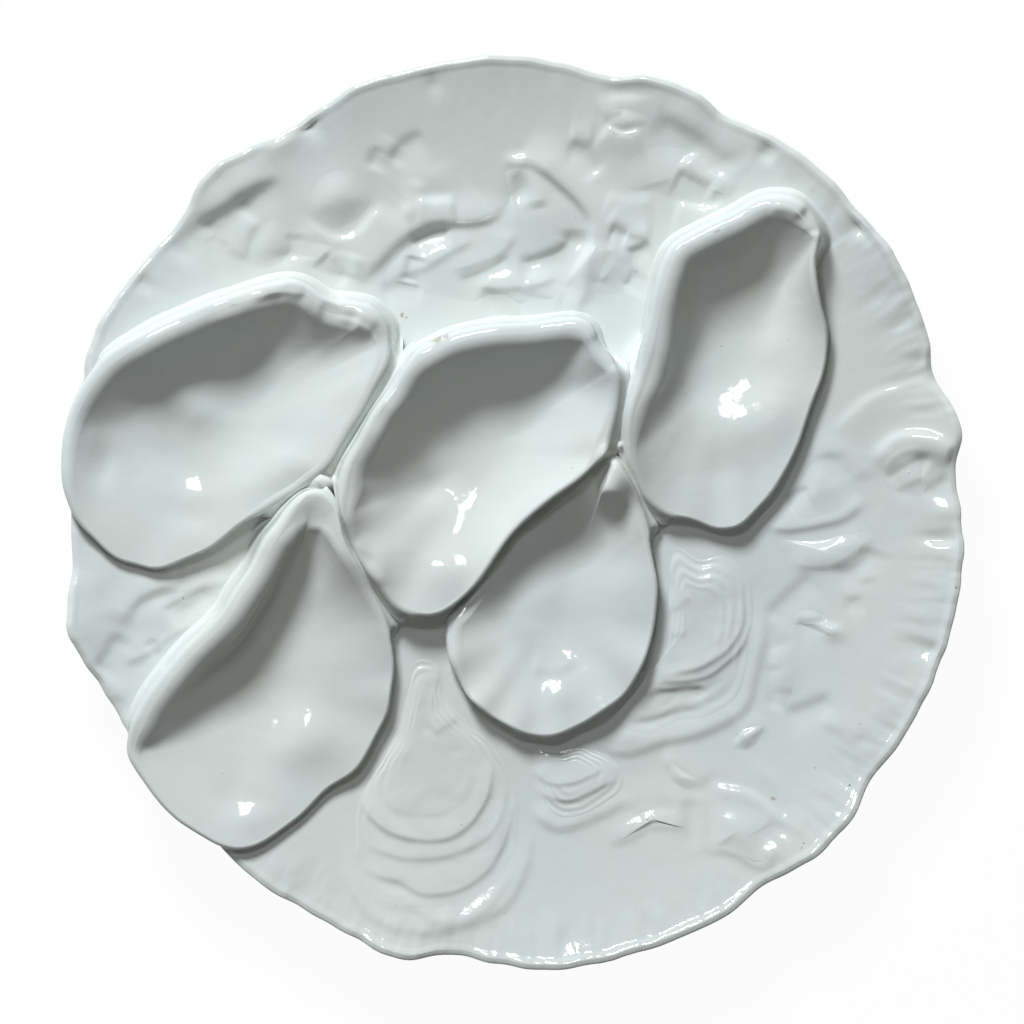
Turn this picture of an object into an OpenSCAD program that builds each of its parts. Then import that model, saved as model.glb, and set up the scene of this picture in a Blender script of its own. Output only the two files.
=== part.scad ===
// Five-well oyster plate in glazed white porcelain.
// A thrown and scalloped plate carries five open oyster shells and low sea
// reliefs, all formed apart and luted on before the firing.
// Origin at the centre of the foot's resting plane, +Z up, +Y to the plate's top.

/* [Plate] */
// Largest diameter across the scalloped rim
plate_d = 225; // [190:1:260]
// Thickness of the flat middle of the plate
plate_t = 3.6; // [3:0.1:6]
// Thickness just inside the rim's rounded edge
rim_t = 3.2; // [2.4:0.1:4.5]
// Height that the rim rises above the flat middle
rim_rise = 6.5; // [4:0.5:8]
// Height that a full lobe of the rim lifts above the rim's mean line
lobe_rise = 1; // [0:0.1:1.4]

/* [Foot ring] */
// Outer diameter of the foot ring
foot_d = 124; // [100:1:130]
// Width of the foot ring where it joins the plate
foot_w = 5; // [4:0.1:7]
// Width of the flat face that rests on the table
foot_face_w = 2.4; // [1.6:0.1:3.2]
// Height of the foot ring
foot_h = 5; // [3:0.5:8]

/* [Shell cups] */
// Height of the tallest lip above the flat middle of the plate
cup_h = 13.5; // [11:0.5:20]
// Thickness of a cup's floor
cup_wall = 2.4; // [2:0.1:3.6]
// Width of the rolled lip
lip_w = 3.4; // [2.4:0.1:4]

/* [Reliefs] */
// Height of the flat oyster shells above the plate
flat_shell_h = 2.4; // [1.6:0.1:3.4]
// Height of the leaves and buds above the plate
leaf_h = 2.2; // [1.4:0.1:3.2]
// Height of the curling wave above the plate
wave_h = 3; // [2:0.1:4]
// Layer of slip between a luted piece and the plate
slip_gap = 0.3; // [0.2:0.05:0.5]

/* [Hidden] */

porcelain = [0.80, 0.83, 0.83];
bare_porcelain = [0.86, 0.84, 0.79];

// Facets of the turned foot ring
foot_facets = 96;
// Points that a curve gets between two chosen points
rim_steps = 2;
cup_steps = 2;
relief_steps = 2;

plate_r = plate_d / 2;
middle_z = foot_h + plate_t;
lip_r = lip_w / 2;

// Radius shares at which the top starts to rise and the underside starts to rise
top_flat_share = 0.55;
under_flat_share = 0.6;
// Radius share from which the lobes lift the rim
lobe_start_share = 0.93;
// Radius shares of a mean lobe and of the step up to a full one
lobe_mean_share = 0.985;
lobe_step_share = 0.02;

// Rim of the plate: angle in degrees from +X, radius as a share of plate_r
rim_shares = [
    [0, 0.980], [5, 0.972], [10, 0.997], [14, 0.987], [18, 0.967], [22, 0.984],
    [27, 0.994], [34, 1.007], [41, 1.002], [48, 1.007], [55, 1.000], [62, 0.985],
    [67, 1.003], [73, 0.998], [78, 0.977], [84, 0.989], [91, 1.000], [97, 0.998],
    [103, 0.995], [110, 0.995], [116, 0.977], [122, 0.972], [131, 0.999],
    [139, 0.967], [146, 0.975], [153, 0.989], [158, 0.992], [163, 0.980],
    [171, 0.966], [179, 0.964], [187, 0.968], [195, 1.004], [203, 0.975],
    [209, 0.966], [218, 0.966], [227, 0.966], [235, 0.980], [243, 0.980],
    [250, 0.992], [256, 1.007], [262, 0.976], [268, 0.987], [275, 1.004],
    [283, 1.002], [291, 1.000], [298, 0.998], [304, 0.984], [311, 1.003],
    [318, 1.000], [323, 0.979], [330, 0.987], [338, 0.991], [346, 0.993],
    [354, 0.991]
];
// Rings of the plate's top and underside, as shares of the rim
top_ring_shares = [0.3, 0.54, 0.63, 0.72, 0.8, 0.87, 0.93, 0.965];
under_ring_shares = [0.92, 0.82, 0.72, 0.65, 0.59];

// Lips of the cups, each row [x, y, height, flank]: the crest in shares of
// plate_r, its height as a share of cup_h, and how far the foot of the flank
// stands out from the crest (or, where negative, is undercut) in plate_r shares
left_lip_shares = [
    [-0.272, 0.368, 0.90, 0.010], [-0.310, 0.428, 0.95, 0.030],
    [-0.395, 0.440, 0.93, 0.032], [-0.455, 0.474, 1.00, 0.028],
    [-0.510, 0.480, 1.00, 0.028], [-0.600, 0.452, 1.00, 0.028],
    [-0.700, 0.415, 0.98, 0.028], [-0.800, 0.368, 0.93, 0.026],
    [-0.890, 0.306, 0.84, 0.010], [-0.944, 0.220, 0.77, -0.015],
    [-0.966, 0.120, 0.73, -0.028], [-0.960, 0.030, 0.71, -0.030],
    [-0.915, -0.050, 0.68, -0.030], [-0.840, -0.106, 0.65, -0.032],
    [-0.760, -0.116, 0.63, -0.034], [-0.660, -0.074, 0.63, -0.034],
    [-0.570, 0.002, 0.66, -0.034], [-0.490, 0.060, 0.70, -0.030],
    [-0.428, 0.108, 0.75, -0.020], [-0.364, 0.206, 0.80, -0.012],
    [-0.312, 0.296, 0.86, -0.006]
];
centre_lip_shares = [
    [0.212, 0.200, 0.86, 0.004], [0.214, 0.288, 0.93, 0.030],
    [0.186, 0.352, 1.00, 0.050], [0.130, 0.388, 0.97, 0.028],
    [0.040, 0.390, 0.94, 0.020], [-0.050, 0.385, 0.96, 0.020],
    [-0.140, 0.362, 1.00, 0.020], [-0.210, 0.318, 1.00, 0.018],
    [-0.270, 0.244, 1.00, 0.016], [-0.320, 0.158, 0.98, 0.016],
    [-0.358, 0.075, 0.94, 0.014], [-0.380, 0.002, 0.88, 0.000],
    [-0.366, -0.074, 0.80, -0.015], [-0.322, -0.146, 0.75, -0.025],
    [-0.260, -0.205, 0.72, -0.030], [-0.190, -0.222, 0.71, -0.030],
    [-0.118, -0.194, 0.71, -0.030], [-0.056, -0.122, 0.73, -0.030],
    [0.000, -0.042, 0.76, -0.030], [0.078, 0.024, 0.79, -0.030],
    [0.148, 0.078, 0.82, -0.020], [0.194, 0.130, 0.84, -0.008]
];
right_lip_shares = [
    [0.655, 0.250, 0.68, -0.020], [0.684, 0.345, 0.72, -0.015],
    [0.668, 0.440, 0.78, -0.010], [0.658, 0.530, 0.86, 0.000],
    [0.660, 0.602, 0.95, 0.020], [0.622, 0.652, 1.00, 0.030],
    [0.560, 0.666, 1.00, 0.028], [0.490, 0.632, 1.00, 0.025],
    [0.410, 0.595, 1.00, 0.025], [0.352, 0.545, 1.00, 0.025],
    [0.324, 0.460, 0.98, 0.020], [0.310, 0.385, 0.94, 0.010],
    [0.286, 0.305, 0.90, 0.000], [0.262, 0.220, 0.86, -0.005],
    [0.256, 0.140, 0.80, -0.005], [0.278, 0.062, 0.74, -0.008],
    [0.322, 0.010, 0.68, -0.015], [0.385, -0.012, 0.64, -0.022],
    [0.450, -0.033, 0.62, -0.030], [0.510, -0.015, 0.62, -0.030],
    [0.560, 0.042, 0.63, -0.030], [0.615, 0.136, 0.65, -0.025]
];
lower_lip_shares = [
    [0.308, -0.210, 0.61, -0.018], [0.300, -0.130, 0.63, -0.014],
    [0.282, -0.052, 0.66, -0.008], [0.256, 0.018, 0.69, -0.004],
    [0.214, 0.060, 0.69, -0.004], [0.166, 0.040, 0.61, 0.000],
    [0.100, -0.014, 0.55, 0.000], [0.040, -0.074, 0.51, 0.000],
    [-0.012, -0.144, 0.50, 0.000], [-0.062, -0.214, 0.51, 0.000],
    [-0.106, -0.262, 0.56, -0.004], [-0.116, -0.330, 0.60, -0.012],
    [-0.085, -0.405, 0.60, -0.022], [-0.030, -0.450, 0.60, -0.030],
    [0.035, -0.482, 0.60, -0.030], [0.110, -0.478, 0.60, -0.030],
    [0.185, -0.438, 0.60, -0.030], [0.252, -0.385, 0.60, -0.026],
    [0.292, -0.300, 0.60, -0.020]
];
lower_left_lip_shares = [
    [-0.272, -0.335, 0.66, -0.020], [-0.302, -0.258, 0.70, -0.010],
    [-0.348, -0.191, 0.76, -0.004], [-0.391, -0.114, 0.86, 0.000],
    [-0.424, -0.034, 0.95, 0.012], [-0.474, -0.020, 1.00, 0.030],
    [-0.524, -0.096, 1.00, 0.040], [-0.578, -0.178, 1.00, 0.036],
    [-0.640, -0.256, 1.00, 0.034], [-0.706, -0.322, 0.98, 0.034],
    [-0.762, -0.390, 0.93, 0.032], [-0.806, -0.464, 0.84, 0.014],
    [-0.822, -0.535, 0.77, -0.022], [-0.782, -0.605, 0.73, -0.030],
    [-0.714, -0.676, 0.70, -0.030], [-0.635, -0.722, 0.68, -0.030],
    [-0.560, -0.724, 0.66, -0.030], [-0.480, -0.672, 0.64, -0.030],
    [-0.410, -0.605, 0.62, -0.030], [-0.338, -0.555, 0.61, -0.030],
    [-0.290, -0.465, 0.62, -0.030], [-0.268, -0.400, 0.64, -0.026]
];
// Deepest point of each cup's floor, in plate_r shares
left_floor_share = [-0.65, 0.20];
centre_floor_share = [-0.07, 0.13];
right_floor_share = [0.47, 0.34];
lower_floor_share = [0.09, -0.20];
lower_left_floor_share = [-0.56, -0.36];
// Rings of a cup's hollow, as shares of the way from the floor to the lip
hollow_ring_shares = [0.34, 0.56, 0.74, 0.88, 0.96];
// Rings of a cup's base, as shares of the way from the floor to the flank's foot
base_ring_shares = [0.7, 0.35];
// The hollow climbs as a power of the way out: steepest towards this angle
steep_angle = 125;
steep_mean_power = 3;
steep_step_power = 1.3;

// Outlines of the reliefs in plate_r shares, counter-clockwise
flat_shell_large_shares = [
    [-0.160, -0.310], [-0.212, -0.310], [-0.238, -0.400], [-0.262, -0.480],
    [-0.318, -0.580], [-0.352, -0.650], [-0.364, -0.740], [-0.345, -0.815],
    [-0.305, -0.878], [-0.240, -0.906], [-0.165, -0.912], [-0.080, -0.895],
    [-0.008, -0.850], [0.032, -0.765], [0.040, -0.680], [0.020, -0.595],
    [-0.020, -0.520], [-0.080, -0.462], [-0.130, -0.400], [-0.148, -0.350]
];
flat_shell_right_shares = [
    [0.350, -0.060], [0.332, -0.100], [0.336, -0.170], [0.332, -0.260],
    [0.314, -0.345], [0.264, -0.416], [0.202, -0.470], [0.222, -0.500],
    [0.280, -0.512], [0.350, -0.488], [0.435, -0.470], [0.488, -0.440],
    [0.518, -0.385], [0.528, -0.310], [0.543, -0.235], [0.538, -0.160],
    [0.508, -0.100], [0.465, -0.078], [0.410, -0.088]
];
flat_shell_small_shares = [
    [0.150, -0.506], [0.092, -0.516], [0.036, -0.514], [0.040, -0.560],
    [0.058, -0.610], [0.070, -0.655], [0.105, -0.680], [0.150, -0.676],
    [0.205, -0.650], [0.250, -0.618], [0.258, -0.570], [0.230, -0.535],
    [0.185, -0.516]
];
curling_wave_shares = [
    [0.150, 0.500], [0.178, 0.570], [0.180, 0.645], [0.145, 0.705],
    [0.085, 0.752], [0.015, 0.776], [-0.020, 0.762], [-0.006, 0.715],
    [-0.026, 0.672], [-0.080, 0.645], [-0.155, 0.634], [-0.230, 0.600],
    [-0.290, 0.552], [-0.318, 0.506], [-0.262, 0.480], [-0.160, 0.452],
    [-0.060, 0.444], [0.040, 0.446], [0.110, 0.456]
];
leaf_top_left_shares = [
    [-0.472, 0.600], [-0.500, 0.650], [-0.548, 0.638], [-0.584, 0.600],
    [-0.596, 0.550], [-0.570, 0.518], [-0.520, 0.524], [-0.476, 0.552]
];
bud_top_left_shares = [
    [-0.290, 0.680], [-0.306, 0.724], [-0.350, 0.756], [-0.408, 0.752],
    [-0.446, 0.708], [-0.456, 0.650], [-0.420, 0.618], [-0.378, 0.606],
    [-0.328, 0.632]
];
fold_top_left_shares = [
    [-0.352, 0.556], [-0.398, 0.590], [-0.450, 0.592], [-0.462, 0.545],
    [-0.420, 0.516], [-0.368, 0.506]
];
leaf_top_right_shares = [
    [0.462, 0.668], [0.478, 0.722], [0.456, 0.768], [0.402, 0.802],
    [0.330, 0.812], [0.262, 0.796], [0.216, 0.752], [0.226, 0.700],
    [0.300, 0.690], [0.352, 0.668], [0.410, 0.656]
];
bud_top_right_shares = [
    [0.305, 0.858], [0.252, 0.886], [0.204, 0.874], [0.190, 0.842],
    [0.226, 0.818], [0.282, 0.826]
];
leaf_arrow_shares = [
    [0.302, 0.600], [0.262, 0.624], [0.222, 0.634], [0.206, 0.598],
    [0.198, 0.556], [0.180, 0.505], [0.172, 0.468], [0.206, 0.456],
    [0.256, 0.478], [0.280, 0.530]
];
scroll_right_shares = [
    [0.928, 0.060], [0.926, 0.112], [0.888, 0.158], [0.834, 0.148],
    [0.792, 0.102], [0.800, 0.056], [0.846, 0.030], [0.896, 0.024]
];
leaf_right_shares = [
    [0.766, 0.062], [0.728, 0.112], [0.690, 0.138], [0.654, 0.122],
    [0.618, 0.064], [0.588, 0.004], [0.606, -0.028], [0.670, -0.022],
    [0.736, 0.004]
];
crescent_right_shares = [
    [0.786, -0.056], [0.744, -0.038], [0.690, -0.052], [0.620, -0.058],
    [0.560, -0.056], [0.572, -0.100], [0.632, -0.134], [0.694, -0.140],
    [0.748, -0.124], [0.776, -0.092]
];
sprig_right_shares = [
    [0.722, -0.258], [0.690, -0.226], [0.648, -0.206], [0.608, -0.214],
    [0.604, -0.240], [0.642, -0.254], [0.684, -0.272], [0.712, -0.278]
];
leaf_twig_shares = [
    [0.622, -0.372], [0.606, -0.318], [0.574, -0.264], [0.556, -0.286],
    [0.552, -0.344], [0.562, -0.404], [0.582, -0.440], [0.608, -0.422]
];
leaf_drop_shares = [
    [0.558, -0.462], [0.512, -0.466], [0.480, -0.490], [0.474, -0.516],
    [0.506, -0.526], [0.540, -0.506]
];
bow_bud_shares = [
    [0.412, -0.590], [0.376, -0.560], [0.336, -0.540], [0.332, -0.568],
    [0.356, -0.600], [0.390, -0.612]
];
bow_leaf_left_shares = [
    [0.396, -0.640], [0.350, -0.620], [0.290, -0.612], [0.248, -0.644],
    [0.216, -0.692], [0.222, -0.722], [0.266, -0.702], [0.312, -0.682],
    [0.366, -0.684], [0.396, -0.692]
];
bow_leaf_right_shares = [
    [0.582, -0.700], [0.566, -0.656], [0.506, -0.620], [0.444, -0.612],
    [0.412, -0.634], [0.410, -0.690], [0.418, -0.736], [0.462, -0.738],
    [0.506, -0.756], [0.548, -0.766], [0.572, -0.738]
];
sprig_left_shares = [
    [-0.650, -0.172], [-0.700, -0.164], [-0.766, -0.174], [-0.826, -0.200],
    [-0.848, -0.246], [-0.812, -0.288], [-0.752, -0.276], [-0.696, -0.232]
];
// Point from which each stepped relief grows, in plate_r shares
flat_shell_large_hinge_share = [-0.190, -0.480];
flat_shell_right_hinge_share = [0.405, -0.225];
flat_shell_small_hinge_share = [0.130, -0.560];
curling_wave_eye_share = [0.030, 0.575];

// Sections of the reliefs, each row [way out, height] as shares, centre to edge:
// growth steps of a flat shell, the hollowed curl of the wave, a rounded leaf
growth_profile_shares = [
    [0, 0.95], [0.30, 1.00], [0.52, 0.92], [0.57, 0.62], [0.74, 0.70],
    [0.79, 0.44], [0.92, 0.50], [1, 0.30]
];
wave_profile_shares = [
    [0, 0.30], [0.35, 0.36], [0.62, 0.62], [0.82, 1.00], [0.94, 0.80], [1, 0.30]
];
leaf_profile_shares = [[0, 1.00], [0.40, 0.94], [0.74, 0.66], [0.93, 0.34], [1, 0.18]];

function turn(n, i) = (i + n) % n;

// Point on a smooth closed curve between b and c, at t from 0 to 1
function curve_point(a, b, c, d, t) =
    b + t / 2 * ((c - a) + t * ((2 * a - 5 * b + 4 * c - d) + t * (3 * b - a - 3 * c + d)));

// Smooth closed curve through points, with steps points for each one given
function curve_loop(points, steps) = let (n = len(points)) [
    for (i = [0:n - 1], k = [0:steps - 1])
        curve_point(points[turn(n, i - 1)], points[i], points[turn(n, i + 1)],
                    points[turn(n, i + 2)], k / steps)
];

function unit(v) = v / norm(v);

// Outward directions of a counter-clockwise closed curve
function outward(curve) = let (n = len(curve)) [
    for (i = [0:n - 1])
        let (along = curve[turn(n, i + 1)] - curve[turn(n, i - 1)])
            unit([along.y, -along.x])
];

// Height of the plate's top and of its underside at distance r from the centre
function top_z(r) =
    middle_z + rim_rise * pow(max(0, (r / plate_r - top_flat_share) / (1 - top_flat_share)), 1.6);
function under_z(r) =
    foot_h + (plate_t + rim_rise - rim_t)
    * pow(max(0, (r / plate_r - under_flat_share) / (1 - under_flat_share)), 1.4);

// A point set on the plate's top, raised by lift
function on_plate(p, lift) = [p.x, p.y, top_z(norm([p.x, p.y])) + slip_gap + lift];

// Closed solid through rings of equal length, between a first and a last pole
module ringed_solid(first_pole, rings, last_pole) {
    n = len(rings[0]);
    last = len(rings) - 1;
    points = concat([first_pole], [for (ring = rings) for (p = ring) p], [last_pole]);
    function at(i, j) = 1 + i * n + turn(n, j);
    faces = concat(
        [for (j = [0:n - 1]) [0, at(0, j + 1), at(0, j)]],
        [for (i = [0:last - 1], j = [0:n - 1]) [at(i, j), at(i, j + 1), at(i + 1, j + 1)]],
        [for (i = [0:last - 1], j = [0:n - 1]) [at(i, j), at(i + 1, j + 1), at(i + 1, j)]],
        [for (j = [0:n - 1]) [at(last, j), at(last, j + 1), len(points) - 1]]
    );
    polyhedron(points, faces);
}

module plate_body() {
    edge = [
        for (row = curve_loop([
            for (r = rim_shares) plate_r * r[1] * [cos(r[0]), sin(r[0])]
        ], rim_steps)) row
    ];
    edge_r = rim_t / 2;
    function lobe(p) = lobe_rise * (norm(p) / plate_r - lobe_mean_share) / lobe_step_share;
    function lift(p, share) =
        lobe(p) * pow(max(0, (share - lobe_start_share) / (1 - lobe_start_share)), 2);
    function rim_z(p) = top_z(norm(p)) + lobe(p);
    function inset(p, by) = p * (1 - by / norm(p));
    rings = concat(
        [for (s = top_ring_shares)
            [for (p = edge) [p.x * s, p.y * s, top_z(norm(p) * s) + lift(p, s)]]],
        [[for (p = edge) let (q = inset(p, edge_r)) [q.x, q.y, rim_z(p)]]],
        [[for (p = edge) [p.x, p.y, rim_z(p) - edge_r]]],
        [[for (p = edge) let (q = inset(p, edge_r)) [q.x, q.y, rim_z(p) - rim_t]]],
        [for (s = under_ring_shares)
            [for (p = edge) [p.x * s, p.y * s, under_z(norm(p) * s)]]]
    );
    color(porcelain) ringed_solid([0, 0, middle_z], rings, [0, 0, foot_h]);
}

module foot_ring() {
    outer_r = foot_d / 2;
    side_w = (foot_w - foot_face_w) / 2;
    color(bare_porcelain) rotate_extrude($fn = foot_facets) polygon([
        [outer_r - foot_w, foot_h], [outer_r - foot_w + side_w, 0],
        [outer_r - side_w, 0], [outer_r, foot_h]
    ]);
}

// An open oyster shell: hollow, rolled lip, flank and a base that seats on the plate
module shell_cup(lip_shares, floor_share) {
    lip = curve_loop(lip_shares, cup_steps);
    crest = [for (p = lip) plate_r * [p.x, p.y]];
    out = outward(crest);
    floor_p = plate_r * floor_share;
    n = len(lip);
    crest_z = [for (p = lip) middle_z + cup_h * p[2]];
    foot = [for (i = [0:n - 1]) crest[i] + out[i] * plate_r * lip[i][3]];
    function power(p) = let (away = p - floor_p)
        steep_mean_power + steep_step_power * cos(atan2(away.y, away.x) - steep_angle);
    function hollow_point(i, share) =
        let (edge = crest[i] - out[i] * lip_r)
        let (p = floor_p + (edge - floor_p) * share)
        let (low = on_plate(floor_p, cup_wall).z)
        let (climb = (crest_z[i] - lip_r - low) * pow(share, power(edge)))
            [p.x, p.y, max(low + climb, on_plate(p, cup_wall).z)];
    function flank_point(i, share) =
        let (p = crest[i] + out[i] * (lip_r + (plate_r * lip[i][3] - lip_r) * share))
        let (low = on_plate(foot[i], 0).z)
            [p.x, p.y, low + (crest_z[i] - lip_r - low) * (1 - share)];
    rings = concat(
        [for (s = hollow_ring_shares) [for (i = [0:n - 1]) hollow_point(i, s)]],
        [[for (i = [0:n - 1]) let (p = crest[i] - out[i] * lip_r) [p.x, p.y, crest_z[i] - lip_r]]],
        [[for (i = [0:n - 1]) [crest[i].x, crest[i].y, crest_z[i]]]],
        [[for (i = [0:n - 1]) flank_point(i, 0)]],
        [[for (i = [0:n - 1]) flank_point(i, 0.55)]],
        [[for (i = [0:n - 1]) on_plate(foot[i], 0)]],
        [for (s = base_ring_shares)
            [for (i = [0:n - 1]) on_plate(floor_p + (foot[i] - floor_p) * s, 0)]]
    );
    ringed_solid(on_plate(floor_p, cup_wall), rings, on_plate(floor_p, 0));
}

// A low relief on the plate: its section follows profile from centre to edge
module relief(outline_shares, centre, height, profile) {
    edge = curve_loop(plate_r * outline_shares, relief_steps);
    function ring_point(p, share, lift) = on_plate(centre + (p - centre) * share, lift);
    rings = concat(
        [for (k = [1:len(profile) - 1])
            [for (p = edge) ring_point(p, profile[k][0], height * profile[k][1])]],
        [[for (p = edge) on_plate(p, 0)]],
        [for (s = base_ring_shares) [for (p = edge) ring_point(p, s, 0)]]
    );
    ringed_solid(on_plate(centre, height * profile[0][1]), rings, on_plate(centre, 0));
}

// A leaf or bud, highest at the middle of its outline
module leaf(outline_shares) {
    count = len(outline_shares);
    middle = [for (p = outline_shares) 1] * outline_shares / count;
    relief(outline_shares, plate_r * middle, leaf_h, leaf_profile_shares);
}

// A flat oyster shell with growth steps round its hinge
module flat_shell(outline_shares, hinge_share) {
    relief(outline_shares, plate_r * hinge_share, flat_shell_h, growth_profile_shares);
}

module shell_cup_left() { color(porcelain) shell_cup(left_lip_shares, left_floor_share); }
module shell_cup_centre() { color(porcelain) shell_cup(centre_lip_shares, centre_floor_share); }
module shell_cup_right() { color(porcelain) shell_cup(right_lip_shares, right_floor_share); }
module shell_cup_lower() { color(porcelain) shell_cup(lower_lip_shares, lower_floor_share); }
module shell_cup_lower_left() {
    color(porcelain) shell_cup(lower_left_lip_shares, lower_left_floor_share);
}

module flat_shell_large() {
    color(porcelain) flat_shell(flat_shell_large_shares, flat_shell_large_hinge_share);
}
module flat_shell_right() {
    color(porcelain) flat_shell(flat_shell_right_shares, flat_shell_right_hinge_share);
}
module flat_shell_small() {
    color(porcelain) flat_shell(flat_shell_small_shares, flat_shell_small_hinge_share);
}
module curling_wave() {
    color(porcelain)
        relief(curling_wave_shares, plate_r * curling_wave_eye_share, wave_h, wave_profile_shares);
}
module leaf_top_left() { color(porcelain) leaf(leaf_top_left_shares); }
module bud_top_left() { color(porcelain) leaf(bud_top_left_shares); }
module fold_top_left() { color(porcelain) leaf(fold_top_left_shares); }
module leaf_top_right() { color(porcelain) leaf(leaf_top_right_shares); }
module bud_top_right() { color(porcelain) leaf(bud_top_right_shares); }
module leaf_arrow() { color(porcelain) leaf(leaf_arrow_shares); }
module scroll_right() { color(porcelain) leaf(scroll_right_shares); }
module leaf_right() { color(porcelain) leaf(leaf_right_shares); }
module crescent_right() { color(porcelain) leaf(crescent_right_shares); }
module sprig_right() { color(porcelain) leaf(sprig_right_shares); }
module leaf_twig() { color(porcelain) leaf(leaf_twig_shares); }
module leaf_drop() { color(porcelain) leaf(leaf_drop_shares); }
module bow_bud() { color(porcelain) leaf(bow_bud_shares); }
module bow_leaf_left() { color(porcelain) leaf(bow_leaf_left_shares); }
module bow_leaf_right() { color(porcelain) leaf(bow_leaf_right_shares); }
module sprig_left() { color(porcelain) leaf(sprig_left_shares); }

plate_body();
foot_ring();
shell_cup_left();
shell_cup_centre();
shell_cup_right();
shell_cup_lower();
shell_cup_lower_left();
flat_shell_large();
flat_shell_right();
flat_shell_small();
curling_wave();
leaf_top_left();
bud_top_left();
fold_top_left();
leaf_top_right();
bud_top_right();
leaf_arrow();
scroll_right();
leaf_right();
crescent_right();
sprig_right();
leaf_twig();
leaf_drop();
bow_bud();
bow_leaf_left();
bow_leaf_right();
sprig_left();
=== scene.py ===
"""A five-well oyster plate in glazed white porcelain, dressed for a studio picture.

The scalloped plate, its foot ring, five open oyster shells and the low sea
reliefs are shaped in millimetres, with places given as shares of the plate's
radius, and become meshes in metres with their places in the mesh.
"""
import logging
import math
from dataclasses import dataclass, field, replace
from enum import Enum

import bpy
import numpy as np
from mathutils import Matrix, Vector


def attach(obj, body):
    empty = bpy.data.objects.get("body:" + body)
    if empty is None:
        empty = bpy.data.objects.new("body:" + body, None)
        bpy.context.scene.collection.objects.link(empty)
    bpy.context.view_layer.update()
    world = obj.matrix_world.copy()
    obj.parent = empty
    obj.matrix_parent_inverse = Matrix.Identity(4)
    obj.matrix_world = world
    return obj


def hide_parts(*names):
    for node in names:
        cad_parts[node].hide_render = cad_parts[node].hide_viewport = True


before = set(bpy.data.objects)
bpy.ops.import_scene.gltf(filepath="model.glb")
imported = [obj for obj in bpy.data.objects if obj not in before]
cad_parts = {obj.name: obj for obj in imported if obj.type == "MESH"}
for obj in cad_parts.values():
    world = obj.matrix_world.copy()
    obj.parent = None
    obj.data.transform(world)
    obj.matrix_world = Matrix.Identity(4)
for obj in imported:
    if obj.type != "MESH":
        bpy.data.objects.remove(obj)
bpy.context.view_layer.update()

logging.basicConfig(level=logging.INFO, format="%(message)s")
LOG = logging.getLogger("oyster_plate")

Array = np.ndarray
Colour = tuple[float, float, float]
Points = tuple[tuple[float, ...], ...]

# Driving sizes of the fixed frame in mm, and one mm in metres
MM = 0.001
PLATE_R = 112.5
FOOT_H = 5.0
PLATE_T = 3.6
RIM_T = 3.2
RIM_RISE = 6.5
CUP_H = 13.5
MIDDLE_Z = FOOT_H + PLATE_T

# Where the rim and the plate's back start to rise, as shares, and how they bend
RIM_START = 0.55
RIM_BEND = 1.6
BACK_START = 0.6
BACK_BEND = 1.4

# The highest that a lip may reach, and how softly it is held there, in mm
TOP_LIMIT = 22.1
TOP_BLEND = 0.3

# The way that the maker's tool pushed, towards the plate's upper left
PUSH = (-0.42, 0.91)


# Curves

def spline(points: Array, steps: int, closed: bool) -> Array:
    """Run a smooth curve through points.

    Args:
        points: rows of any width, in order.
        steps: points of the curve for each one given.
        closed: whether the last point joins the first.

    Returns:
        The rows of the curve.
    """
    if closed:
        padded = np.concatenate([points[-1:], points, points[:2]])
    else:
        padded = np.concatenate(
            [2 * points[:1] - points[1:2], points, 2 * points[-1:] - points[-2:-1]])
    a, b, c, d = (padded[k:len(padded) - 3 + k][:, None] for k in range(4))
    t = (np.arange(steps) / steps)[None, :, None]
    run = b + t / 2 * ((c - a) + t * ((2 * a - 5 * b + 4 * c - d) + t * (3 * b - a - 3 * c + d)))
    run = run.reshape(-1, points.shape[1])
    return run if closed else np.concatenate([run, points[-1:]])


def outward(curve: Array) -> Array:
    """Return the outward directions of a counter-clockwise closed curve in the plane."""
    along = np.roll(curve, -1, axis=0) - np.roll(curve, 1, axis=0)
    out = np.stack([along[:, 1], -along[:, 0]], axis=1)
    return out / np.linalg.norm(out, axis=1, keepdims=True)


def bearings(ways: Array) -> Array:
    """Return the bearings of rows x, y in radians."""
    return np.arctan2(ways[:, 1], ways[:, 0])


def smooth(value: Array) -> Array:
    """Ease values from 0 to 1, level at both ends."""
    held = np.clip(value, 0.0, 1.0)
    return held * held * (3.0 - 2.0 * held)


def kept_above(value: Array, least: Array | float, blend: float) -> Array:
    """Bend values softly so that they stay above the least, over a blend in mm."""
    return least + blend * np.logaddexp(0.0, (value - least) / blend)


def below_top(height: Array) -> Array:
    """Bend heights in mm softly under the highest that a lip may reach."""
    return -kept_above(-height, -TOP_LIMIT, TOP_BLEND)


def rounded(values: Array, keep: float = 2.6) -> Array:
    """Return values round a loop, in rows, with only their slow changes kept."""
    turns = np.fft.fftfreq(len(values)) * len(values)
    weight = np.exp(-(turns / keep) ** 2).reshape(-1, *[1] * (values.ndim - 1))
    return np.real(np.fft.ifft(np.fft.fft(values, axis=0) * weight, axis=0))


def wander(count: int, seed: int, first: int = 4, last: int = 15) -> Array:
    """Make the unevenness of a hand-finished edge.

    Args:
        count: points round the edge.
        seed: fixes the run of bumps.
        first: fewest bumps round the edge.
        last: most bumps round the edge.

    Returns:
        Smooth values round the loop, mostly within -1 to 1.
    """
    source = np.random.default_rng(seed)
    turn = np.linspace(0.0, 2.0 * math.pi, count, endpoint=False)
    waves = [
        source.normal() * np.sin(k * turn + source.uniform(0.0, 2.0 * math.pi))
        for k in range(first, last + 1)
    ]
    return np.sum(waves, axis=0) / math.sqrt(last - first + 1)


# Modelling tool

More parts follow.
